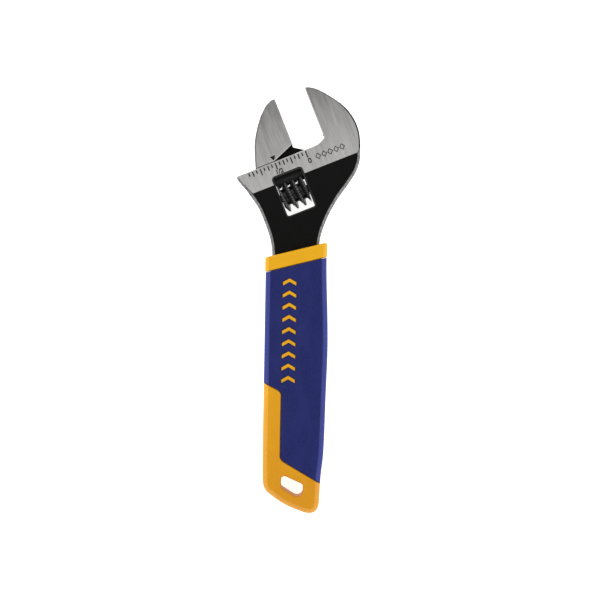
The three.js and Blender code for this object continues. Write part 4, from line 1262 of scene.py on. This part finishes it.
def yellow_moulding():
    x0, x1 = COLLAR_SIDES

    def low(x):
        return collar_line(x) - COLLAR_HEIGHT + 0.3

    collar = [(x0, collar_line(x0), 0.9), (x0, low(x0), 0.5), (x1, low(x1), 0.5),
              (x1, collar_line(x1), 0.9)]
    collar = anticlockwise(np.array(rounded(collar)))
    ends = (x0 - 2, x1 + 2)
    falls = [Fall(side, 1.7, 2.3, 0.45) for side in (line((x0, 80), (x0, 100)),
                                                     line((x1, 100), (x1, 80)))]
    falls += [Fall(line(*((x, collar_line(x)) for x in ends)), 1.0, 0.9, 0.9),
              Fall(line(*((x, low(x)) for x in ends)), 0.35, 0.3, 0.8)]
    made = plate("yellow_moulding", collar, flat(GRIP_HALF), falls)

    joint = joint_line(0.3)

    def below_joint(q):
        return min(joint[0][1] - q[1] if q[0] < 0 else 1, joint[-1][1] - q[1] if q[0] > 5 else 1)

    rest = part_of([tuple(q) for q in OUTLINE], below_joint)
    slot = [(-4.3, -0.35, 1.2), (4.3, -5.6, 2.3), (4.3, 1, 1), (-4.3, 4.85, 1.4)]
    slot = np.array(rounded(slot, 0.3))
    falls = [side_fall(), Fall(joint, 0.35, 0.3, 0.8), Fall(slot, 0.7, 0.7, 0.8, True)]
    tail = plate("tail", closed(rest, joint[::-1]), flat(GRIP_HALF), falls, [slot])
    core = plate("core", core_outline(2.0), flat(CORE_HALF), [])
    loop = chevron_loop(MARK_TOP, 0)
    mark = plate("chevron", loop, flat(GRIP_HALF), [Fall(loop, 0.18, 0.12, 0.7, True)])
    marks = row("chevrons", mark, MARK_COUNT, (0, -MARK_PITCH, 0), YELLOW)
    tidy(marks)
    for extra in (tail, core, marks):
        boolean(made, extra, "UNION")
    boolean(made, tang_pocket())
    tidy(made, 1e-5)
    finish_faces(made, [YELLOW])
    settle(made, HANDLE, "yellow_moulding", "body", "yellow_plastic", "grip_base")


def blue_cushion():
    joint = joint_line(0.02)

    def top(x):
        return collar_line(x) - COLLAR_HEIGHT

    right = [tuple(q) for q in OUTLINE[OUTLINE[:, 0] > 5] if q[1] > -6]
    right = part_of(right, lambda q: min(q[1] - joint[-1][1], top(q[0]) - q[1]))
    upper = line(right[-1], (GRIP_LEFT, top(GRIP_LEFT)), 0.5)
    outline = closed(joint, right, upper, line(upper[-1], joint[0], 0.8))
    holes = [chevron_loop(MARK_TOP - i * MARK_PITCH, 0.2) for i in range(MARK_COUNT)]
    falls = [side_fall(), Fall(joint, 0.4, 0.35, 0.8), Fall(upper, 0.4, 0.35, 0.8)]
    falls += [Fall(hole, 0.2, 0.15, 0.7, True) for hole in holes]
    made = plate("blue_cushion", outline, flat(CUSHION_HALF), falls, holes, spacing=1.5)
    inner = offset(OUTLINE, 1.8, False)
    cavity = closed([tuple(q) for q in inner], line(inner[-1], inner[0], 1.5))
    boolean(made, plate("cavity", cavity, flat(CAVITY_HALF), []))
    tidy(made, 1e-5)
    finish_faces(made, [BLUE])
    # Painted light: sets "rim" to 1 on the sloping bevel faces, which the blue material paints
    # lighter.
    paint(made, lambda co: np.ones(len(co)), lambda level: (level > 0.3) & (level < 0.93))
    settle(made, HANDLE, "blue_cushion", "body", "blue_rubber", "grip_cushion")


# ---------------------------------------------------------------- stage, light and camera

CAMERA_DISTANCE, FIELD_WIDTH, CAMERA_ROLL = 0.9, 0.234, math.radians(1.0)
OBJECT_TOP = 0.0145
LAMPS = {"key": ((-0.8, 0.5, 1.1), 1.6, 8.0), "fill": ((1.0, -0.4, 0.9), 1.4, 5.0)}


def studio():
    """A white light table under a pale soft box of a room."""
    scene = bpy.context.scene
    scene.view_settings.view_transform = "Standard"
    floor_mesh = bpy.data.meshes.new("floor")
    floor_mesh.from_pydata([(-4, -4, 0), (4, -4, 0), (4, 4, 0), (-4, 4, 0)], [], [(0, 1, 2, 3)])
    material, tree = blank("white_light_table")
    place = in_millimetres(tree)
    tone = add(tree, NOISE, {"Vector": place, "Scale": 0.02, "Detail": 2.0, "Roughness": 0.55})
    tones = {0: tone, 6: linear("#f6f6f6"), 7: linear("#f9f9f9")}
    colour = add(tree, MIX, tones, data_type="RGBA").outputs[2]
    looks = {"Specular IOR Level": 0.1, "Roughness": 0.8, "Emission Color": (1, 1, 1, 1),
             "Emission Strength": 0.88, "Base Color": colour}
    add(tree, OUTPUT, {"Surface": add(tree, PRINCIPLED, looks)})
    floor_mesh.materials.append(material)
    floor = linked("floor", floor_mesh)

    scene.world = bpy.data.worlds.new("studio")
    scene.world.use_nodes = True
    tree = scene.world.node_tree
    tree.nodes.clear()
    height = add(tree, SPLIT, {0: add(tree, PLACE).outputs["Generated"]}).outputs[2]
    level = add(tree, MAP, {0: height, 1: 0.1, 2: 0.95, 3: 1.1, 4: 0.4})
    glow = add(tree, "ShaderNodeBackground", {0: (1, 1, 1, 1), 1: level})
    add(tree, "ShaderNodeOutputWorld", {0: glow})

    for name, (position, size, power) in LAMPS.items():
        lamp = bpy.data.lights.new(name, "AREA")
        lamp.size, lamp.energy = size, power
        holder = linked(name, lamp)
        holder.location = position
        holder.rotation_euler = (-Vector(position)).to_track_quat("-Z", "Y").to_euler()

    camera = linked("camera", bpy.data.cameras.new("camera"))
    camera.data.sensor_width = 36
    camera.data.lens = 36 * CAMERA_DISTANCE / FIELD_WIDTH
    camera.location = (0.0015, 0.0, OBJECT_TOP + CAMERA_DISTANCE)
    camera.rotation_euler = (0, 0, CAMERA_ROLL)
    scene.camera = camera


forged_body()
sliding_jaw()
adjusting_worm()
pivot_pin()
pin_spring()
yellow_moulding()
blue_cushion()
studio()
